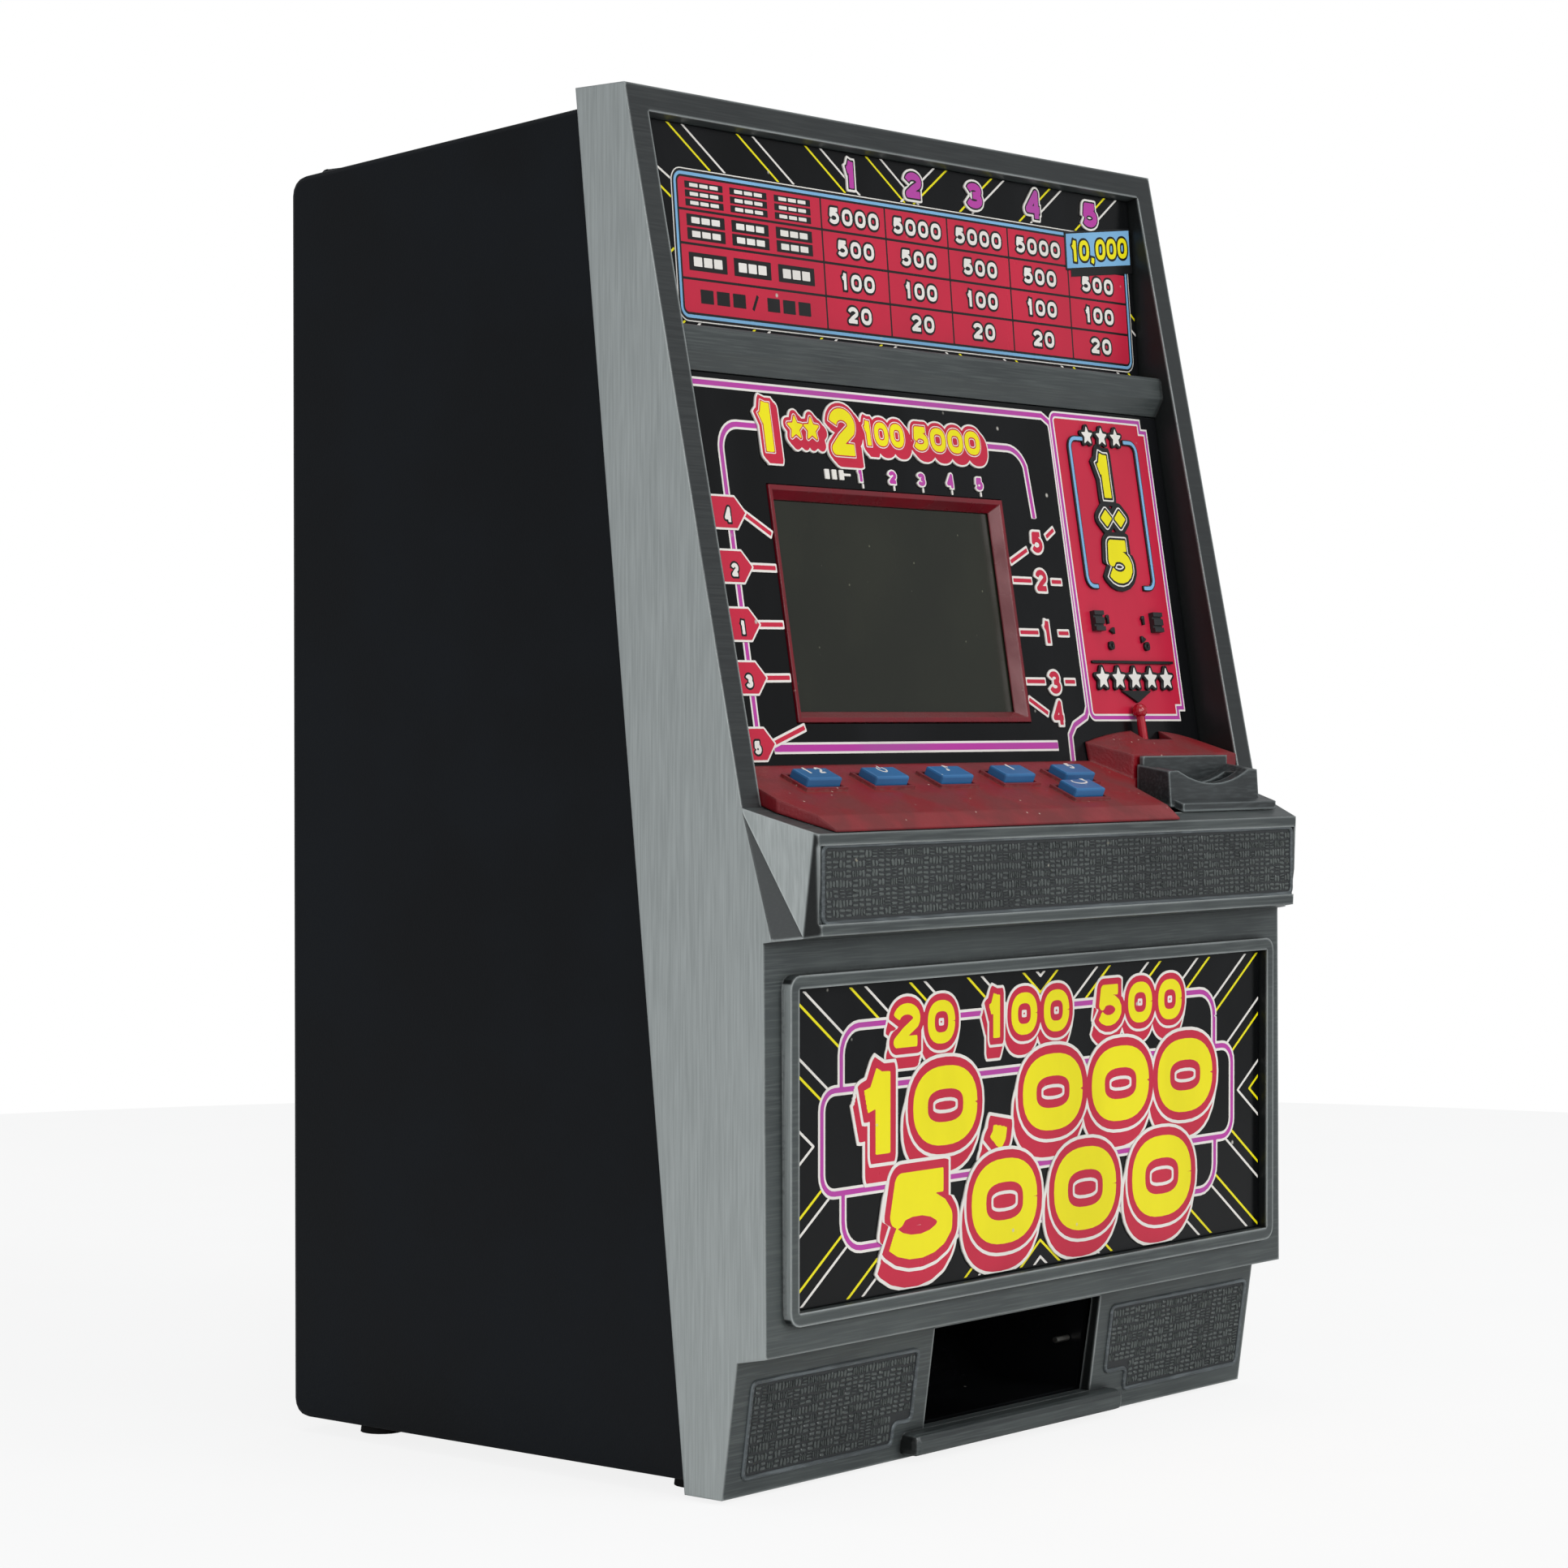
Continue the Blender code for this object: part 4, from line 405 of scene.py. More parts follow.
def addArea(field, points, radius=0.0, reach=6.0):
    # a filled convex outline; its corners are rounded by the radius
    part = windowOf(field, points, reach)
    u, v = field["u"][part], field["v"][part]
    near = np.full(u.shape, 99.0)
    inside = np.zeros(u.shape, bool)
    for k, (ax, ay) in enumerate(points):
        bx, by = points[(k + 1) % len(points)]
        dx, dy = bx - ax, by - ay
        t = np.clip(((u - ax) * dx + (v - ay) * dy) / (dx * dx + dy * dy), 0, 1)
        near = np.minimum(near, np.hypot(u - ax - t * dx, v - ay - t * dy))
        crosses = (ay > v) != (by > v)
        with np.errstate(divide="ignore", invalid="ignore"):
            inside ^= crosses & (u < (bx - ax) * (v - ay) / (by - ay if by != ay else 1e-9) + ax)
    shape = np.where(inside, -near, near) - radius
    field["edge"][part] = np.minimum(field["edge"][part], shape)


def box(left, right, low, high, inset=0.0):
    return [(left + inset, low + inset), (right - inset, low + inset), (right - inset, high - inset),
            (left + inset, high - inset)]


def roundBox(left, right, low, high, radius, steps=6):
    made = []
    for cx, cy, start in ((right - radius, high - radius, 0), (left + radius, high - radius, 90),
                          (left + radius, low + radius, 180), (right - radius, low + radius, 270)):
        for k in range(steps + 1):
            turn = math.radians(start + 90 * k / steps)
            made.append((cx + radius * math.cos(turn), cy + radius * math.sin(turn)))
    return made


def copyField(field, edge=None):
    made = dict(field)
    made["edge"] = field["edge"].copy() if edge is None else edge
    return made


def emptyLike(field):
    return copyField(field, np.full(field["u"].shape, 99.0))


def moved(field, du, dv):
    # the same shapes shifted by whole grid steps
    j, i = round(du / field["pitch"]), round(dv / field["pitch"])
    edge = np.roll(field["edge"], (i, j), (0, 1))
    return copyField(field, edge)


def arc(cx, cy, rx, ry, start, end, steps=14):
    turns = [math.radians(start + (end - start) * k / steps) for k in range(steps + 1)]
    return [(cx + rx * math.cos(a), cy + ry * math.sin(a)) for a in turns]


def ring():
    made = []
    for k in range(33):
        a = 2 * math.pi * k / 32
        c, s = math.cos(a), math.sin(a)
        made.append((0.5 + 0.5 * math.copysign(abs(c) ** 0.8, c), 0.5 + 0.5 * math.copysign(abs(s) ** 0.8, s)))
    return made


# centre lines of plain numerals in a unit square
numerals = {
    "0": [ring()],
    "1": [[(0.62, 0.0), (0.62, 1.0)], [(0.12, 0.73), (0.4, 0.8), (0.62, 1.0)]],
    "2": [arc(0.5, 0.7, 0.48, 0.3, 170, -28, 12) + [(0.42, 0.28), (0.04, 0.0), (1.0, 0.0)]],
    "3": [arc(0.48, 0.76, 0.44, 0.24, 165, -80, 12) + [(0.4, 0.52)],
          [(0.4, 0.52)] + arc(0.48, 0.26, 0.5, 0.26, 80, -165, 12)],
    "4": [[(0.74, 0.0), (0.74, 1.0), (0.0, 0.28), (1.0, 0.28)]],
    "5": [[(0.94, 1.0), (0.18, 1.0), (0.1, 0.52)] + arc(0.46, 0.34, 0.52, 0.34, 125, -150, 12)],
    ",": [[(0.5, 0.0), (0.42, -0.16), (0.1, -0.3)]],
}
narrow = {"1": 0.72, ",": 0.42, " ": 0.62}


def textWidth(text, wide, gap):
    return sum(wide * narrow.get(c, 1.0) + gap for c in text) - gap


def addNumber(field, text, left, base, wide, high, weight, gap, up=1, slant=0.0):
    # numerals from left to right; up is -1 where v runs down the slope; slant tilts the base line
    x = left
    for mark in text:
        room = wide * narrow.get(mark, 1.0)
        for line in numerals.get(mark, []):
            points = []
            for px, py in line:
                along = x + weight / 2 + px * (room - weight)
                rise = weight / 2 + py * (high - weight)
                if mark in "14" and py in (0.0, 1.0):
                    rise = py * high
                points.append((along, base + up * rise + slant * (along - left)))
            addStroke(field, points, weight)
        x += room + gap
    return x - gap


def star(cx, cy, radius, points=5, inner=0.45, turn=90, up=1):
    made = []
    for k in range(points * 2):
        r = radius if k % 2 == 0 else radius * inner
        a = math.radians(turn + 180 * k / points)
        made.append((cx + r * math.cos(a), cy + up * r * math.sin(a)))
    return made


edgesOf = {1: [(3, 0)], 2: [(0, 1)], 3: [(3, 1)], 4: [(1, 2)], 5: [(3, 0), (1, 2)], 6: [(0, 2)], 7: [(3, 2)],
           8: [(2, 3)], 9: [(2, 0)], 10: [(0, 1), (2, 3)], 11: [(2, 1)], 12: [(1, 3)], 13: [(1, 0)], 14: [(0, 3)]}


def outlinesOf(field, level):
    # closed outlines where the distance crosses the level
    d = field["edge"] - level
    d = np.where(d == 0, 1e-6, d)
    d[0, :] = d[-1, :] = 1.0
    d[:, 0] = d[:, -1] = 1.0
    inside = d < 0
    kind = (inside[:-1, :-1] * 1 + inside[:-1, 1:] * 2 + inside[1:, 1:] * 4 + inside[1:, :-1] * 8)
    follow = {}
    place = {}

    def crossing(i, j, side):
        # key and position of the crossing on one side of a grid cell
        i, j, vertical = ((i, j, False), (i, j + 1, True), (i + 1, j, False), (i, j, True))[side]
        key = (i, j, vertical)
        if key not in place:
            here = d[i, j]
            there = d[i + 1, j] if vertical else d[i, j + 1]
            t = here / (here - there)
            place[key] = (field["left"] + (j + (0 if vertical else t)) * field["pitch"],
                          field["low"] + (i + (t if vertical else 0)) * field["pitch"])
        return key

    for i, j in np.argwhere((kind > 0) & (kind < 15)):
        for start, end in edgesOf[int(kind[i, j])]:
            follow[crossing(i, j, start)] = crossing(i, j, end)
    loops = []
    while follow:
        first = next(iter(follow))
        here, loop = first, []
        while here in follow:
            loop.append(place[here])
            here = follow.pop(here)
        loops.append(thinned(loop, field["pitch"] * 0.06))
    return [loop for loop in loops if len(loop) > 2]


def thinned(loop, slack):
    # leaves out points that lie on a straight run
    kept = [loop[0]]
    k = 0
    while k < len(loop) - 1:
        reach = k + 1
        while reach + 1 < len(loop) and reach - k < 60:
            (ax, ay), (bx, by) = loop[k], loop[reach + 1]
            length = math.hypot(bx - ax, by - ay)
            if length < 1e-9:
                break
            off = max(abs((bx - ax) * (p[1] - ay) - (by - ay) * (p[0] - ax)) / length
                      for p in loop[k + 1:reach + 1])
            if off > slack:
                break
            reach += 1
        kept.append(loop[reach])
        k = reach
    if len(kept) > 3 and math.dist(kept[0], kept[-1]) < slack * 4:
        kept.pop()
    return kept


filmStep = 0.03  # each ink stands this much above the one under it
filmSunk = 0.02  # and starts this far inside the sheet


def printFilm(name, field, level, layer, surface, material, body="cabinet"):
    loops = outlinesOf(field, level)
    if not loops:
        print("empty print", name)
        return
    curve = bpy.data.curves.new(name, "CURVE")
    curve.dimensions = "2D"
    curve.fill_mode = "BOTH"
    curve.extrude = 0.5
    for loop in loops:
        spline = curve.splines.new("POLY")
        spline.points.add(len(loop) - 1)
        for point, (x, y) in zip(spline.points, loop):
            point.co = (x, y, 0.0, 1.0)
        spline.use_cyclic_u = True
    guide = bpy.data.objects.new(name, curve)
    bpy.context.scene.collection.objects.link(guide)
    bpy.context.view_layer.update()
    mesh = bpy.data.meshes.new_from_object(guide.evaluated_get(bpy.context.evaluated_depsgraph_get()))
    bpy.data.objects.remove(guide)
    bm = bmesh.new()
    bm.from_mesh(mesh)
    bmesh.ops.remove_doubles(bm, verts=bm.verts[:], dist=1e-4)
    for vertex in bm.verts:
        vertex.co.z = filmStep * layer if vertex.co.z > 0 else -filmSunk
    bm.transform(surface)
    bmesh.ops.recalc_face_normals(bm, faces=bm.faces[:])
    bm.to_mesh(mesh)
    bm.free()
    mesh.name = name
    mesh.materials.clear()
    mesh.materials.append(material)
    piece = bpy.data.objects.new(name, mesh)
    bpy.context.scene.collection.objects.link(piece)
    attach(piece, body)


# where print lies: the front plane of a CAD sheet, written as x and a distance down or up
lean = math.atan2(38.2, 179.4)
crown = Vector((0.0, 75.35 - 103.2, 295.7))
downSlope = Vector((0.0, -math.sin(lean), -math.cos(lean)))
outSlope = Vector((0.0, -math.cos(lean), math.sin(lean)))


def frontPlane(node):
    # centre and normal of the largest face that looks forward, in millimetres
    area, middle, normal = {}, {}, {}
    for face in nodes[node].data.polygons:
        if face.normal.y < -0.5:
            key = (round(face.normal.y, 2), round(face.normal.z, 2), round(face.normal.dot(face.center) / mm, 1))
            area[key] = area.get(key, 0) + face.area
            middle[key] = face.center / mm
            normal[key] = face.normal.copy()
    best = max(area, key=area.get)
    return middle[best], normal[best]


def placedAt(columns, spot):
    # matrix from millimetres along three directions to metres, starting at the spot
    made = Matrix.Identity(4)
    for row in range(3):
        for k, column in enumerate(columns):
            made[row][k] = column[row] * mm
        made[row][3] = spot[row]
    return made


def surfaceOn(node, start, step, look):
    # matrix from print coordinates to the sheet, in metres
    middle, normal = frontPlane(node)

    def drop(point):
        return point + look * ((middle - point).dot(normal) / look.dot(normal))

    origin = drop(start)
    along = drop(start + step) - origin
    return placedAt((Vector((1, 0, 0)), along, normal.normalized()), [part * mm for part in origin])


signSurface = surfaceOn("payout_sign", crown, downSlope, outSlope)
gameSurface = surfaceOn("game_panel", crown, downSlope, outSlope)
bellySurface = surfaceOn("belly_sign", Vector((0, 0, 0.7)), Vector((0, 0, 1)), Vector((0, 1, 0)))


def printStack(panel, surface, layers):
    # layers from the bottom ink to the top one: name, field, growth, material
    for number, (name, field, level, material) in enumerate(layers):
        printFilm(panel + name, field, level, number + 1, surface, material)


def takeAway(field, other, level=0.0):
    field["edge"] = np.maximum(field["edge"], level - other["edge"])


# payout sign: diagonal line pairs, a red table of numbers and a sky-blue tag over its corner
def payoutPrint():
    look = {"rows": (17.3, 24.2, 31.5, 39.0, 46.2), "columns": (-30.9, -8.0, 15.1, 38.5, 62.2),
            "left": -78.8, "right": 85.6, "line": 0.48, "pitch": 0.14,
            "prizes": ("5000", "500", "100", "20")}
    base = newField(-89.4, 89.4, 5.9, 49.6, look["pitch"])
    table = emptyLike(base)
    addArea(table, box(look["left"], look["right"], look["rows"][0], look["rows"][-1], 1.2), 1.2)
    yellow, white = emptyLike(base), emptyLike(base)
    fall = 0.69
    for field, tops, hand in ((yellow, (-81.1, -58.2, -34.9, -13.4), 1), (white, (-76.2, -52.9, -29.7, -8.2), 1),
                              (white, (11.9, 38.8, 61.8, 84.7), -1), (yellow, (16.6, 34.1, 57.3, 79.9), -1)):
        for x in tops:
            addStroke(field, [(x - hand * 2 / fall, 3.9), (x + hand * 11.5 / fall, 17.4)], look["line"])
    for field, feet, hand in ((yellow, (-77.6, -54.4, -31.4, -10.2), -1), (white, (-72.5, -49.4, -26.3, -5.0), -1),
                              (white, (10.3, 32.6, 55.6, 78.8), 1), (yellow, (15.5, 37.3, 60.6, 83.6), 1)):
        for x in feet:
            addStroke(field, [(x - hand * 3, 45.2), (x + hand * 5, 50.8)], look["line"])
    addStroke(white, [(-90.0, 13.2), (-79.0, 19.0)], look["line"])
    addStroke(yellow, [(-90.0, 16.3), (-79.0, 23.2)], look["line"])
    addStroke(yellow, [(-86.0, 36.6), (-79.0, 31.5)], look["line"])
    addStroke(yellow, [(85.0, 31.6), (93.0, 38.0)], look["line"])
    addStroke(white, [(85.0, 35.8), (93.0, 41.4)], look["line"])
    for field in (yellow, white):
        takeAway(field, table, 2.2)
    grid = emptyLike(base)
    for x in look["columns"]:
        addStroke(grid, [(x, look["rows"][0] - 1), (x, look["rows"][-1] + 1)], 0.55)
    for s in look["rows"][1:-1]:
        addStroke(grid, [(look["left"] - 1, s), (look["right"] + 1, s)], 0.55)
    red = copyField(table)
    takeAway(red, grid)
    numbers = emptyLike(base)
    edges = look["columns"] + (look["right"],)
    for row, prize in enumerate(look["prizes"]):
        foot = (look["rows"][row] + look["rows"][row + 1]) / 2 + 1.85
        for column in range(5):
            if row == 0 and column == 4:
                continue
            width = textWidth(prize, 3.7, 1.0)
            middle = (edges[column] + edges[column + 1]) / 2
            addNumber(numbers, prize, middle - width / 2, foot, 3.7, 3.7, 0.9, 1.0, -1)
    # plates with three plain blocks each stand where the symbols were
    plates, blocks = emptyLike(base), emptyLike(base)
    for row, (count, high) in enumerate(((3, 1.5), (2, 2.55), (1, 3.9))):
        middle = (look["rows"][row] + look["rows"][row + 1]) / 2
        for column in range(3):
            left = (-76.6, -61.9, -47.0)[column]
            for k in range(count):
                top = middle + (k - (count - 1) / 2) * (high + 0.42) - high / 2
                addArea(plates, box(left, left + 12.4, top, top + high))
                for part in range(3):
                    start = left + 1.5 + part * 3.3
                    addArea(blocks, box(start, start + 2.7, top + high * 0.24, top + high * 0.76))
    foot = (look["rows"][3] + look["rows"][4]) / 2
    for start in (-73.5, -68.2, -62.9, -51.4, -46.1, -40.8):
        addArea(plates, box(start, start + 4.2, foot - 1.5, foot + 1.5))
    addStroke(plates, [(-56.3, foot + 1.6), (-54.6, foot - 1.6)], 0.8)
    tag, shade, tagText = emptyLike(base), emptyLike(base), emptyLike(base)
    corners = [(62.0, 16.4), (88.6, 13.1), (88.4, 21.6), (61.8, 24.7)]
    addArea(tag, corners)
    addArea(shade, [(x + 1.6, s + 1.9) for x, s in corners])
    addNumber(tagText, "10,000", 63.6, 23.0, 4.1, 5.0, 1.1, 0.55, -1, -0.125)
    big, bigField = (-23.3, -0.2, 22.9, 46.2, 69.2), emptyLike(base)
    for k, x in enumerate(big):
        digit = str(k + 1)
        addNumber(bigField, digit, x + (1.0 if digit == "1" else 0.0), 13.9, 6.2, 5.9, 1.65, 0, -1)
    printStack("payout", signSurface, [
        ("YellowLines", yellow, 0.0, yellowInk), ("WhiteLines", white, 0.0, whiteInk),
        ("Halo", table, 2.0, whiteInk), ("Ground", table, 1.75, blackInk), ("Border", table, 1.2, skyInk),
        ("InnerLine", table, 0.5, blackInk), ("Red", red, 0.0, redInk), ("Plates", plates, 0.0, blackInk),
        ("Blocks", blocks, 0.0, whiteInk), ("NumberEdges", numbers, 0.5, blackInk),
        ("Numbers", numbers, 0.0, whiteInk), ("TagShade", shade, 0.0, blackInk),
        ("TagEdge", tag, 0.5, blackInk), ("Tag", tag, 0.0, skyInk),
        ("TagNumberEdge", tagText, 0.55, blackInk), ("TagNumber", tagText, 0.0, yellowInk),
        ("BigHalo", bigField, 0.85, whiteInk), ("BigEdge", bigField, 0.38, blackInk),
        ("Big", bigField, 0.0, magentaInk)])


# game panel: line loop round the display, arrow tags, numbers and a red winner panel
def gamePrint():
    look = {"pitch": 0.17, "band": 2.1}
    base = newField(-89.3, 89.3, 60.4, 146.2, look["pitch"])
    bands = emptyLike(base)
    addStroke(bands, [(-91, 62.3), (42.0, 62.3), (45.0, 64.0), (45.2, 66.0), (44.9, 132.0), (43.6, 134.2),
                      (38.6, 136.2), (36.4, 138.6), (36.0, 147.5)], look["band"])
    loop = arc(-69.9, 76.9, 6.0, 6.0, 180, 270, 8)
    addStroke(bands, [(-75.9, 140.0)] + loop + [(-60.0, 70.9)], look["band"])
    addStroke(bands, [(14.0, 70.9), (26.6, 70.9)] + arc(26.6, 77.3, 6.6, 6.4, 270, 340, 6) + [(33.6, 87.3)],
              look["band"])
    addStroke(bands, [(-71.0, 141.0), (31.0, 141.0)], look["band"] + 0.4)
    frameShape = emptyLike(base)
    addArea(frameShape, box(46.6, 83.4, 62.6, 133.6, 0.8), 0.8)
    for x, s in ((83.4, 62.6), (83.4, 133.6)):
        notch = emptyLike(base)
        addArea(notch, box(x - 2.4, x + 6, s - 6 if s < 90 else s - 2.4, s + 2.4 if s < 90 else s + 6))
        takeAway(frameShape, notch)
    # arrow tags and the lines that join them to the display
    tags, leads = emptyLike(base), emptyLike(base)
    places = ((90.3, (-63.2, 94.6), "4"), (102.0, (-63.2, 102.0), "2"), (114.4, (-63.2, 114.3), "1"),
              (125.9, (-63.2, 125.8), "3"), (140.1, (-60.4, 136.6), "5"))
    tagNumbers = emptyLike(base)
    for s, end, digit in places:
        addArea(tags, [(-82.5, s - 3.3), (-74.1, s - 3.3), (-71.0, s), (-74.1, s + 3.4), (-82.5, s + 3.4)])
        addStroke(leads, [(-71.6, s), end], 1.15)
        addNumber(tagNumbers, digit, -77.9 + (0.5 if digit == "1" else 0), s + 2.2, 2.3, 2.9, 0.85, 0, -1)
    numbers = emptyLike(base)
    for digit, x, top, foot in (("5", 30.6, 90.6, 95.6), ("2", 30.4, 99.6, 104.7), ("1", 30.6, 111.8, 117.0),
                                ("3", 30.3, 123.6, 128.9), ("4", 30.2, 131.1, 136.2)):
        addNumber(numbers, digit, x, foot, 4.4, foot - top, 1.25, 0, -1)
    for line in ([(21.9, 98.0), (28.8, 95.0)], [(21.9, 102.3), (28.9, 102.3)], [(21.9, 114.5), (28.9, 114.5)],
                 [(21.9, 126.0), (28.9, 126.0)], [(21.9, 130.2), (28.5, 133.5)], [(37.2, 91.6), (40.4, 89.8)],
                 [(37.0, 102.3), (40.7, 102.3)], [(37.0, 114.5), (40.8, 114.5)], [(37.0, 126.0), (40.8, 126.0)]):
        addStroke(leads, line, 1.1)
    small, ticks = emptyLike(base), emptyLike(base)
    for k, x in enumerate((-31.1, -20.0, -9.5, 1.2, 12.0)):
        addNumber(small, str(k + 1), x, 81.6, 2.7, 2.9, 0.85, 0, -1)
        addStroke(ticks, [(x + 1.75, 82.0), (x + 1.75, 83.1)], 0.45)
    addStroke(ticks, [(-35.9, 80.3), (-33.4, 80.3)], 0.55)
    for x in (-42.3, -39.8, -37.3):
        addArea(ticks, box(x, x + 1.5, 79.3, 81.5))
    # title row: two large numerals, stars and two small numbers
    title = emptyLike(base)
    addNumber(title, "1", -64.0, 76.4, 9.0, 10.6, 2.6, 0, -1)
    addNumber(title, "2", -39.2, 76.0, 9.2, 10.6, 2.6, 0, -1)
    for x in (-50.9, -45.4):
        addArea(title, star(x, 70.7, 2.5, up=-1), 0.2)
    addNumber(title, "100", -27.6, 73.2, 4.9, 5.4, 1.35, 0.7, -1)
    addNumber(title, "5000", -9.6, 73.4, 5.6, 5.5, 1.4, 0.85, -1)
    titleShade = emptyLike(base)
    for k in range(5):
        titleShade["edge"] = np.minimum(titleShade["edge"], moved(title, 1.5 * k / 4, 1.35 * k / 4)["edge"])
    # winner panel
    blue = emptyLike(base)
    outline = arc(53.4, 69.6, 2.4, 2.4, 270, 180, 5) + [(51.0, 100.6)] + arc(53.4, 100.6, 2.4, 2.4, 180, 90, 5)
    addStroke(blue, [(56.5, 67.2)] + outline + [(55.0, 103.0)], 0.85)
    outline = arc(76.0, 69.6, 2.4, 2.4, 270, 360, 5) + [(78.4, 100.6)] + arc(76.0, 100.6, 2.4, 2.4, 0, 90, 5)
    addStroke(blue, [(73.4, 67.2)] + outline + [(74.0, 103.0)], 0.85)
    marks, prize = emptyLike(base), emptyLike(base)
    for x in (58.4, 64.3, 70.2):
        addArea(marks, star(x, 66.4, 2.1, up=-1), 0.15)
    addNumber(prize, "1", 59.4, 81.3, 10.6, 10.4, 2.9, 0, -1)
    addNumber(prize, "5", 59.6, 102.1, 10.4, 10.6, 2.8, 0, -1)
    for x in (61.8, 67.4):
        addArea(prize, [(x, 84.6), (x + 1.9, 86.3), (x, 88.0), (x - 1.9, 86.3)], 0.3)
    signs = emptyLike(base)
    for x in (57.2, 71.9):
        addNumber(signs, "1", x - 1.2, 112.0, 2.2, 2.1, 0.5, 0, -1)
        addNumber(signs, "0", x - 1.1, 118.3, 1.9, 2.1, 0.5, 0, -1)
    addArea(signs, [(57.2, 113.6), (58.9, 112.7), (58.9, 114.5)])
    addArea(signs, [(71.6, 115.6), (69.9, 114.7), (69.9, 116.5)])
    addStroke(signs, [(48.4, 121.2), (81.4, 121.2)], 0.65)
    addArea(signs, [(58.6, 128.1), (70.8, 128.1), (64.7, 131.0)])
    winner = emptyLike(base)
    for k in range(5):
        addArea(winner, star(51.3 + k * 6.6, 125.2, 2.55, up=-1), 0.15)
    printStack("game", gameSurface, [
        ("BandEdges", bands, 0.0, whiteInk), ("Bands", bands, -0.5, magentaInk),
        ("FrameOuter", frameShape, 1.75, whiteInk), ("FrameBand", frameShape, 1.3, magentaInk),
        ("FrameInner", frameShape, 0.45, whiteInk), ("Red", frameShape, 0.0, redInk),
        ("LeadEdges", leads, 0.42, whiteInk), ("Leads", leads, -0.1, redInk), ("TagEdges", tags, 0.45, whiteInk),
        ("Tags", tags, 0.0, redInk), ("TagNumberEdges", tagNumbers, 0.45, blackInk),
        ("TagNumbers", tagNumbers, 0.0, whiteInk), ("Ticks", ticks, 0.0, whiteInk),
        ("NumberEdges", numbers, 0.55, whiteInk), ("Numbers", numbers, 0.0, redInk),
        ("SmallEdges", small, 0.35, whiteInk), ("Small", small, 0.0, magentaInk),
        ("TitleShadeEdge", titleShade, 1.65, whiteInk), ("TitleShade", titleShade, 1.25, redInk),
        ("TitleRing", title, 1.15, redInk), ("TitleEdge", title, 0.5, whiteInk),
        ("TitleInner", title, 0.28, redInk), ("Title", title, 0.0, yellowInk),
        ("BlueEdges", blue, 0.25, blackInk), ("Blue", blue, 0.0, skyInk),
        ("PrizeGround", prize, 1.9, blackInk), ("PrizeRing", prize, 0.85, whiteInk),
        ("PrizeEdge", prize, 0.5, blackInk), ("Prize", prize, 0.0, yellowInk), ("MarkEdges", marks, 0.6, blackInk),
        ("Marks", marks, 0.0, whiteInk), ("Signs", signs, 0.0, blackInk), ("WinnerEdges", winner, 0.6, blackInk),
        ("Winner", winner, 0.0, whiteInk)])


# belly sign: chevron line pairs, three rounded loops and rows of large shaded numerals
def bellyPrint():
    look = {"pitch": 0.25, "middle": (-1.3, 72.8), "rise": 0.74, "line": 0.58}
    base = newField(-87.0, 87.0, 39.6, 105.4, look["pitch"])
    cx, cz = look["middle"]
    loops = [roundBox(*edges) for edges in ((-71.6, 67.8, 78.0, 97.1, 6.0), (-78.0, 75.4, 62.3, 83.9, 4.2),
                                            (-71.0, 68.2, 50.2, 78.0, 6.0))]
    masks = emptyLike(base)
    for loop in loops:
        addArea(masks, loop)
    yellow, white = emptyLike(base), emptyLike(base)
    for field, first in ((yellow, -62.4), (white, -58.7)):
        for k in range(8):
            drop = first + 15.0 * k
            for hand in (-1, 1):
                for up in (-1, 1):
                    points = []
                    start = max(0.0, -drop / look["rise"])
                    for x in (start, 90.0):
                        points.append((cx + hand * x, cz + up * max(0.0, look["rise"] * x + drop)))
                    addStroke(field, points, look["line"], False)
        takeAway(field, masks, 0.9)
    rings = emptyLike(base)
    one, two, three = loops
    for loop in (one, three):
        addStroke(rings, loop + loop[:1], 2.3)
    inner = emptyLike(base)
    addArea(inner, two)
    takeAway(rings, inner)
    addStroke(rings, two + two[:1], 2.3)
    rows = (
        {"text": "20 100 500", "left": -54.5, "base": 91.4, "wide": 9.6, "high": 9.4, "weight": 2.4, "gap": 2.5,
         "ring": 1.45, "edge": 0.6, "shade": (-0.9, -3.0)},
        {"text": "10,000", "left": -67.5, "base": 69.4, "wide": 22.6, "high": 17.2, "weight": 5.0, "gap": 3.6,
         "ring": 1.9, "edge": 0.75, "shade": (-1.4, -4.0)},
        {"text": "5000", "left": -57.6, "base": 45.9, "wide": 24.0, "high": 18.8, "weight": 5.2, "gap": 6.4,
         "ring": 1.9, "edge": 0.75, "shade": (-1.4, -4.0)})
    layers = [("YellowLines", yellow, 0.0, yellowInk), ("WhiteLines", white, 0.0, whiteInk),
              ("LoopEdges", rings, 0.0, whiteInk), ("Loops", rings, -0.6, magentaInk)]
    for number, row in enumerate(rows):
        text, shade = emptyLike(base), emptyLike(base)
        addNumber(text, *(row[key] for key in ("text", "left", "base", "wide", "high", "weight", "gap")))
        for k in range(6):
            part = moved(text, row["shade"][0] * k / 5, row["shade"][1] * k / 5)
            shade["edge"] = np.minimum(shade["edge"], part["edge"])
        growth = row["ring"] + row["edge"]
        tag = "Row%d" % (number + 1)
        layers += [(tag + "ShadeEdge", shade, growth, whiteInk), (tag + "Shade", shade, row["ring"], redInk),
                   (tag + "Edge", text, growth, whiteInk), (tag + "Ring", text, row["ring"], redInk),
                   (tag, text, 0.0, yellowInk)]
    printStack("belly", bellySurface, layers)


payoutPrint()
print("payout sign printed")
gamePrint()
print("game panel printed")
bellyPrint()
print("belly sign printed")


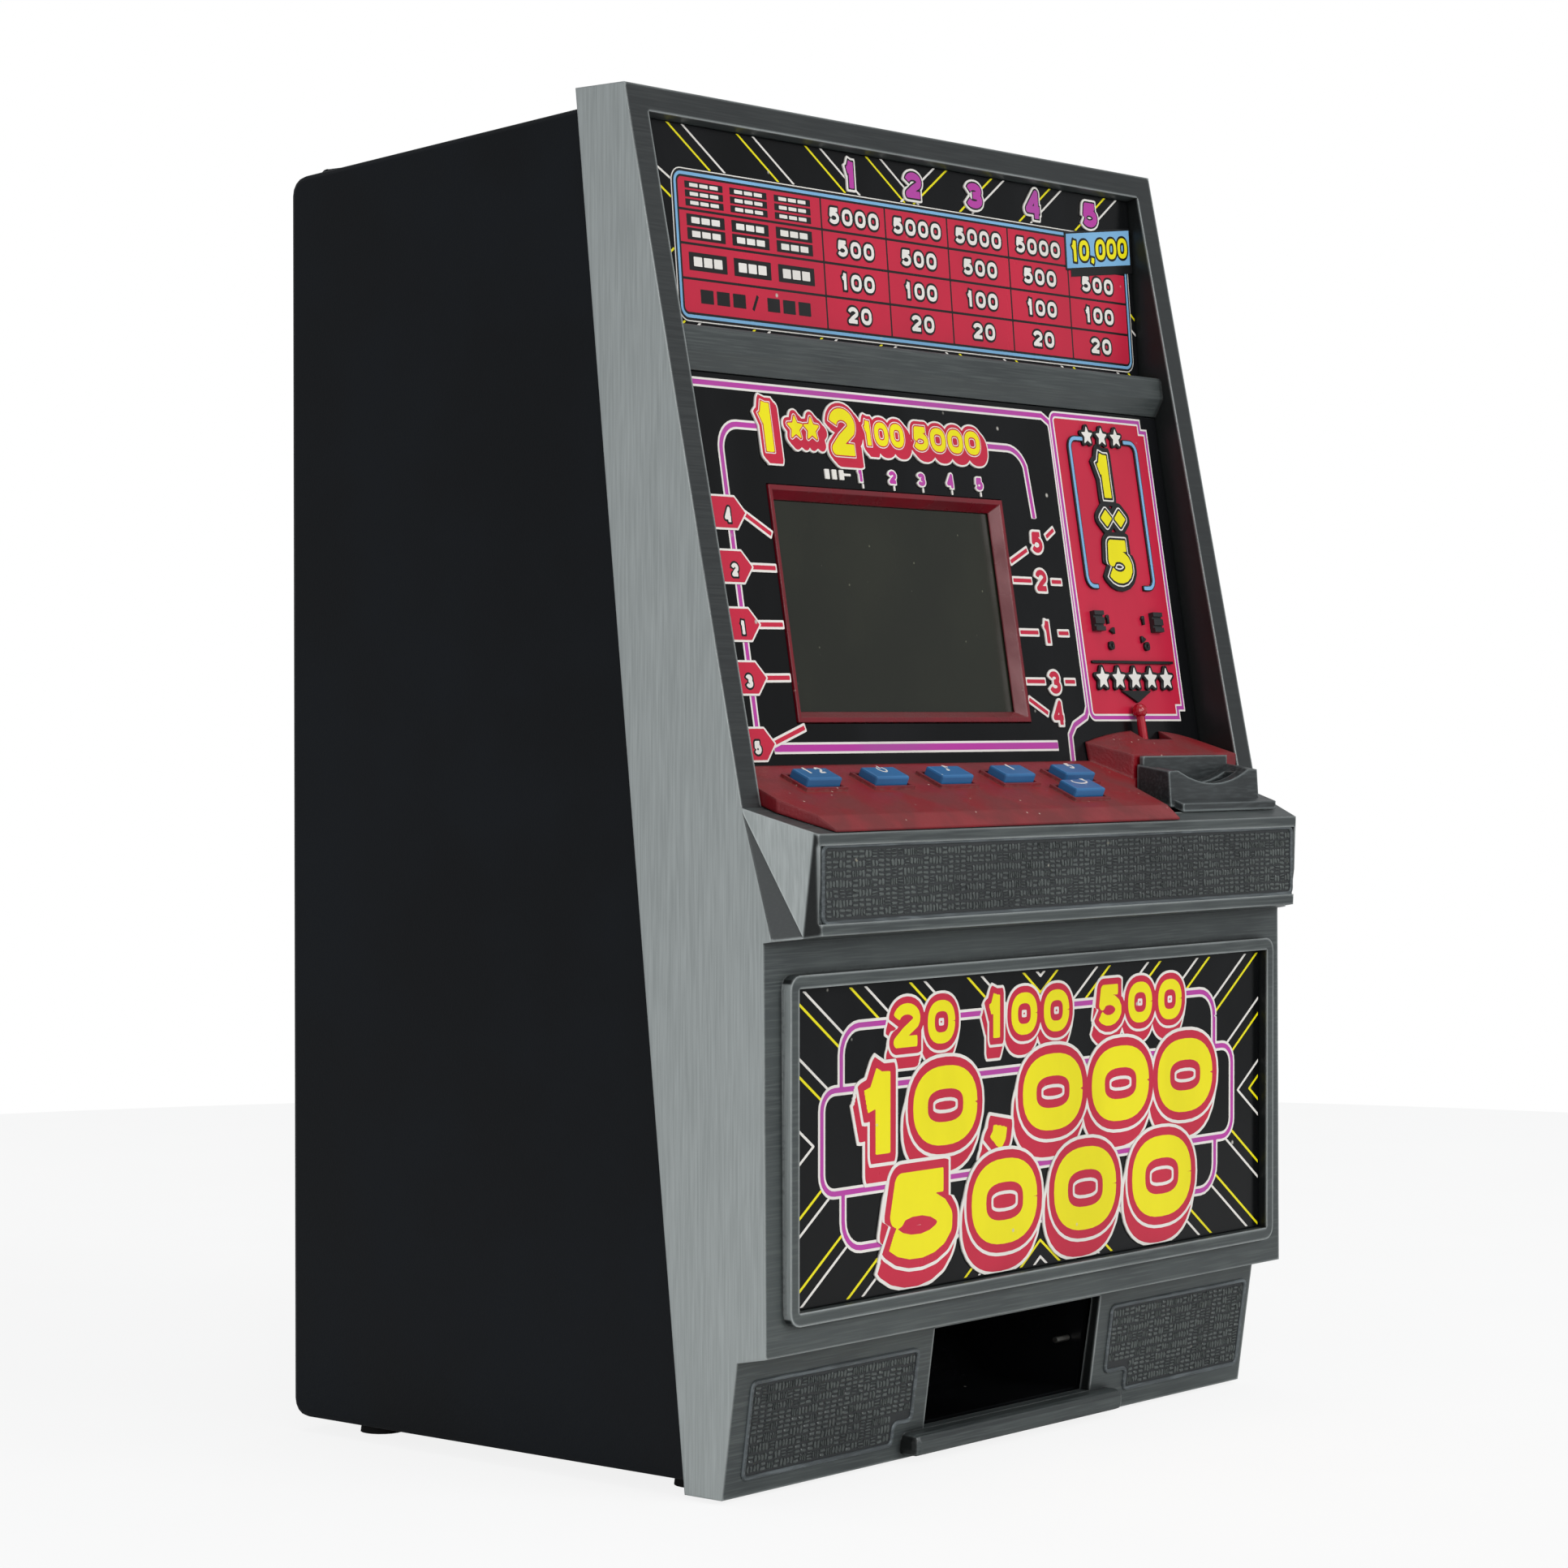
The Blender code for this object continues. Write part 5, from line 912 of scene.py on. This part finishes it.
def groundAt(node, start, look, upHint):
    # place, right, up and outward direction where a line of sight meets a CAD node
    hit, spot, out, _ = nodes[node].ray_cast(Vector(start) * mm, Vector(look))
    if not hit:
        raise RuntimeError("nothing there on " + node)
    up = (Vector(upHint) - out * out.dot(Vector(upHint))).normalized()
    return placedAt((up.cross(out), up, out), spot)


def addPiece(name, bm, surface, material, body="cabinet"):
    bm.transform(surface)
    bmesh.ops.recalc_face_normals(bm, faces=bm.faces[:])
    mesh = bpy.data.meshes.new(name)
    bm.to_mesh(mesh)
    bm.free()
    mesh.materials.append(material)
    piece = bpy.data.objects.new(name, mesh)
    bpy.context.scene.collection.objects.link(piece)
    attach(piece, body)


def rounded(points, radius, steps=4):
    # the outline with every corner turned into an arc, convex or not
    made = []
    for k, here in enumerate(points):
        before, after = points[k - 1], points[(k + 1) % len(points)]
        a = Vector(before) - Vector(here)
        b = Vector(after) - Vector(here)
        start = Vector(here) + a.normalized() * radius
        end = Vector(here) + b.normalized() * radius
        middle = start + end - Vector(here)
        for n in range(steps + 1):
            turn = math.radians(90 * n / steps)
            spot = middle - (end - Vector(here)) * math.cos(turn) - (start - Vector(here)) * math.sin(turn)
            made.append((spot.x, spot.y))
    return made


def bead(name, outline, radius, height, surface, material):
    # a raised half-round rib that follows a closed outline
    bm = bmesh.new()
    profile = [(-radius, -0.3), (-radius, height * 0.45), (-radius * 0.55, height), (radius * 0.55, height),
               (radius, height * 0.45), (radius, -0.3)]
    count = len(outline)
    rows = []
    for k in range(count):
        before, here, after = (Vector(outline[(k + d) % count]) for d in (-1, 0, 1))
        along = (after - here).normalized() + (here - before).normalized()
        side = Vector((along.y, -along.x)).normalized()
        rows.append([bm.verts.new((here.x + side.x * p, here.y + side.y * p, h)) for p, h in profile])
    for k in range(count):
        for n in range(len(profile)):
            m = (n + 1) % len(profile)
            bm.faces.new((rows[k][n], rows[k][m], rows[(k + 1) % count][m], rows[(k + 1) % count][n]))
    addPiece(name, bm, surface, material)


def addMound(bm, cx, cy, wide, high, top, turn, seed):
    # one low pebble with a flat top and sloping sides, slightly out of square
    rng = random.Random(seed)
    c, s = math.cos(turn), math.sin(turn)
    rings = []
    for grow, level in ((1.0, -0.15), (1.0, top * 0.45), (0.62, top)):
        row = []
        for k, (sx, sy) in enumerate(((-1, -0.55), (-0.7, -1), (0.7, -1), (1, -0.55), (1, 0.55), (0.7, 1),
                                      (-0.7, 1), (-1, 0.55))):
            half = (wide / 2 - (1 - grow) * 0.45, high / 2 - (1 - grow) * 0.45)
            x = sx * half[0] + (rng.random() - 0.5) * 0.16
            y = sy * half[1] + (rng.random() - 0.5) * 0.16
            row.append(bm.verts.new((cx + x * c - y * s, cy + x * s + y * c, level)))
        rings.append(row)
    for lower, upper in zip(rings, rings[1:]):
        for k in range(8):
            bm.faces.new((lower[k], lower[(k + 1) % 8], upper[(k + 1) % 8], upper[k]))
    bm.faces.new(rings[-1])
    bm.faces.new(rings[0][::-1])


def pebbles(name, look, inside, surface, material):
    # patches of short bars laid level or upright, as on the moulded strip
    bm = bmesh.new()
    rng = random.Random(look["seed"])
    left, right, low, high = look["area"]
    rows, columns = round((high - low) / look["cell"]), round((right - left) / look["cell"])
    stepX, stepY = (right - left) / columns, (high - low) / rows
    for j in range(rows):
        for i in range(columns):
            cx = left + (i + 0.5) * stepX
            cy = low + (j + 0.5) * stepY
            if not inside(cx, cy, stepX / 2):
                continue
            count = rng.choice((2, 2, 2, 3))
            upright = rng.random() < 0.5
            across, along = (stepX, stepY) if upright else (stepY, stepX)
            thick = across / count
            for k in range(count):
                off = (k + 0.5) * thick - across / 2
                long = along + rng.choice((-0.4, -0.2, 0.0))
                wide = thick - look["groove"]
                top = look["top"] * rng.uniform(0.75, 1.0)
                turn = rng.uniform(-0.09, 0.09)
                x, y = (off, rng.uniform(-0.12, 0.12)) if upright else (rng.uniform(-0.12, 0.12), off)
                size = (wide, long - look["groove"]) if upright else (long - look["groove"], wide)
                addMound(bm, cx + x, cy + y, size[0], size[1], top, turn, rng.random())
    addPiece(name, bm, surface, material)


# moulded texture: the strip along the bumper and the two pads beside the tray
pebbleAbs = mouldedAbs("silverPaintedPebbles", {"colour": "#414645", "rubbed": "#505654", "grain": 0.35,
                                                "depth": 0.02, "rough": 0.34, "specks": 0.03, "dust": "#8f8a76"})
grooveAbs = mouldedAbs("blackAbsPebbleFloor", {"colour": "#1d2022", "rubbed": "#25282a", "grain": 0.4,
                                               "depth": 0.02, "rough": 0.5})
beadPaint = rubbedSilver("silverPaintOnBead", {
    "streak": 0.8, "stretch": 10.0, "frontDark": "#43484a", "front": "#4f5558", "frontPale": "#666d70",
    "side": "#5d6467", "sidePale": "#6d7477", "edgePale": "#8c9496", "black": "#1b1d1f", "edge": 0.5, "deep": 0.6,
    "thin": 0.0, "leanShadeColour": "#2c2f31", "outer": 89.9, "inner": 0.0, "rough": 0.36, "metallic": 0.35,
    "depth": 0.01, "rounding": 0.0})


def floorPlate(name, outline, surface):
    # a thin closed plate inside the bead, the dark ground between the pebbles
    bm = bmesh.new()
    bottom, top = ([bm.verts.new((x, y, level)) for x, y in outline] for level in (-0.2, 0.05))
    bm.faces.new(bottom[::-1])
    bm.faces.new(top)
    for k in range(len(outline)):
        m = (k + 1) % len(outline)
        bm.faces.new((bottom[k], bottom[m], top[m], top[k]))
    addPiece(name, bm, surface, grooveAbs)


def strips():
    look = {"bump": (88.0, 7.9), "bead": 0.5, "rise": 0.5, "cell": 2.15, "margin": 0.85, "groove": 0.4}
    pads = (("Left", -1, (34.8, 90.4, 3.6, 24.2), (41.0, 8.4)),
            ("Right", 1, (37.9, 93.8, 4.2, 25.0), (46.4, 9.4)))
    front = (0, 1, 0)
    wide, tall = look["bump"]
    surface = groundAt("front_frame", (0.3, -200, 128.2), front, (0, 0, 1))
    outline = rounded([(-wide, -tall), (wide, -tall), (wide, tall), (-wide, tall)], 1.4)
    bead("stripBead", outline, look["bead"], look["rise"], surface, beadPaint)
    floorPlate("stripFloor", outline, surface)
    wide, tall = wide - look["margin"], tall - look["margin"]
    pebbles("stripPebbles", {"area": (-wide, wide, -tall, tall), "cell": look["cell"], "groove": look["groove"],
                             "top": 0.42, "seed": 7}, lambda x, y, r: True, surface, pebbleAbs)
    for side, hand, (near, far, low, high), (nx, nz) in pads:
        middle = ((near + far) / 2, (low + high) / 2)
        surface = groundAt("front_frame", (hand * middle[0], -200, middle[1] + 0.7), front, (0, 0, 1))
        points = [(nx, low), (far, low), (far, high), (near, high), (near, nz), (nx, nz)]
        outline = [(hand * (x - middle[0]), z - middle[1]) for x, z in points]
        outline = rounded(outline if hand > 0 else outline[::-1], 1.4)
        bead("pad" + side + "Bead", outline, look["bead"], look["rise"], surface, beadPaint)
        floorPlate("pad" + side + "Floor", outline, surface)
        inner, halfTall = (far - near) / 2 - look["margin"], (high - low) / 2 - look["margin"]

        def inPad(x, y, r, hand=hand, middle=middle, nx=nx, nz=nz):
            across = hand * x + middle[0]
            return not (across - r < nx + look["margin"] and y - r < nz - middle[1] + look["margin"])

        pebbles("pad" + side + "Pebbles", {"area": (-inner, inner, -halfTall, halfTall), "cell": look["cell"],
                                           "groove": look["groove"], "top": 0.42, "seed": 11 + hand}, inPad,
                surface, pebbleAbs)


strips()
print("moulded textures made")


# button tops: small white marks, read from the front
def buttonPrint():
    look = {"pitch": 0.07}
    marks = {"player_button": "1 2", "power_button": "power", "sound_button": "note", "bet_button": "1",
             "max_bet_button": "5", "spin_button": "turn"}
    for node, mark in marks.items():
        low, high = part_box(node)
        middle = (low + high) / 2 / mm
        surface = groundAt(node, (middle.x, middle.y, 400), (0, 0, -1), (0, 1, 0))
        field = newField(-5.2, 5.2, -2.4, 2.4, look["pitch"])
        if mark == "power":
            addStroke(field, arc(0, -0.1, 1.2, 1.2, 130, 410, 18), 0.42)
            addStroke(field, [(0, 0.3), (0, 1.6)], 0.42)
        elif mark == "note":
            addArea(field, arc(-0.7, -1.0, 0.55, 0.42, 0, 330, 10))
            addStroke(field, [(-0.25, -1.0), (-0.25, 1.4)], 0.32)
            addStroke(field, [(-0.25, 1.25), (0.9, 0.5)], 0.5)
        elif mark == "turn":
            addStroke(field, arc(0, 0, 2.6, 1.05, 150, 400, 20), 0.45)
            addArea(field, [(1.4, 1.3), (2.9, 1.35), (2.6, -0.1)])
        else:
            width = textWidth(mark, 2.1, 0.6)
            addNumber(field, mark, -width / 2, -1.4, 2.1, 2.8, 0.55, 0.6)
        printFilm(node + "Mark", field, 0.0, 1, surface, whiteInk, node)


buttonPrint()
print("button marks printed")


# studio: pale floor, large soft lights, camera at the height of the bumper and well to the left
def studio():
    look = {"sky": 0.32, "mirrorSky": 0.3, "floor": "#f4f4f3", "floorSize": 1.5, "floorWhite": 0.86}
    lamps = (("keyLight", (0.35, -1.9, 1.0), (1.0, 1.0), 21.0), ("fillLight", (-1.5, -1.3, 0.8), (0.9, 1.1), 10.0),
             ("topLight", (-0.1, -0.1, 1.6), (1.2, 1.2), 7.0))
    made, tree, shader, place = startMaterial("paleStudioPaper")
    tone = blendColour(tree, spread(tree, noiseAt(tree, place, 60.0, 3.0), 0.3, 0.7), linear(look["floor"]),
                       linear("#efefee"))
    tree.links.new(tone, shader.inputs["Base Color"])
    shader.inputs["Roughness"].default_value = 0.9
    bright = addNode(tree, "ShaderNodeEmission", {"Color": (1, 1, 1, 1), "Strength": 1.0})
    paths = addNode(tree, "ShaderNodeLightPath").outputs
    share = calc(tree, "MULTIPLY", paths["Is Camera Ray"], look["floorWhite"])
    both = addNode(tree, "ShaderNodeMixShader", {}, {0: share, 1: shader.outputs[0], 2: bright.outputs[0]})
    tree.links.new(both.outputs[0], tree.nodes["Material Output"].inputs["Surface"])
    bpy.ops.mesh.primitive_circle_add(vertices=96, radius=look["floorSize"] / 2, fill_type="NGON",
                                      location=(0, 0, -0.0002))
    floor = bpy.context.object
    floor.name = "studioFloor"
    floor.data.materials.append(made)
    world = bpy.data.worlds.new("studioSky")
    bpy.context.scene.world = world
    world.use_nodes = True
    tree = world.node_tree
    tree.nodes.clear()
    soft = addNode(tree, "ShaderNodeBackground", {"Color": linear("#dfe5ea"), "Strength": look["sky"]})
    plain = addNode(tree, "ShaderNodeBackground", {"Color": (1, 1, 1, 1), "Strength": 1.0})
    path = addNode(tree, "ShaderNodeLightPath").outputs
    seen = calc(tree, "MAXIMUM", path["Is Camera Ray"], path["Is Transmission Ray"])
    seen = calc(tree, "MAXIMUM", seen, calc(tree, "MULTIPLY", path["Is Glossy Ray"], look["mirrorSky"]))
    mix = addNode(tree, "ShaderNodeMixShader", {}, {0: seen, 1: soft.outputs[0], 2: plain.outputs[0]})
    addNode(tree, "ShaderNodeOutputWorld", {}, {"Surface": mix.outputs[0]})
    for name, place, size, power in lamps:
        lamp = bpy.data.lights.new(name, "AREA")
        lamp.shape = "RECTANGLE"
        lamp.size, lamp.size_y = size
        lamp.energy = power
        holder = bpy.data.objects.new(name, lamp)
        bpy.context.scene.collection.objects.link(holder)
        holder.location = place
        holder.rotation_euler = (Vector((0, 0, 0.15)) - Vector(place)).to_track_quat("-Z", "Y").to_euler()
    view = {"lens": 88.96, "sensor_width": 36.0, "shift_y": -0.0038, "clip_start": 0.05, "clip_end": 20.0}
    stand, sight = (-0.6980, -0.5772, 0.1630), (0.7656, 0.6431, -0.0164)  # place and direction, metres
    eye = bpy.data.cameras.new("camera")
    for key, value in view.items():
        setattr(eye, key, value)
    camera = bpy.data.objects.new("camera", eye)
    bpy.context.scene.collection.objects.link(camera)
    camera.location = stand
    camera.rotation_euler = Vector(sight).to_track_quat("-Z", "Y").to_euler()
    bpy.context.scene.camera = camera
    bpy.context.scene.view_settings.view_transform = "Standard"


studio()
print("studio ready")
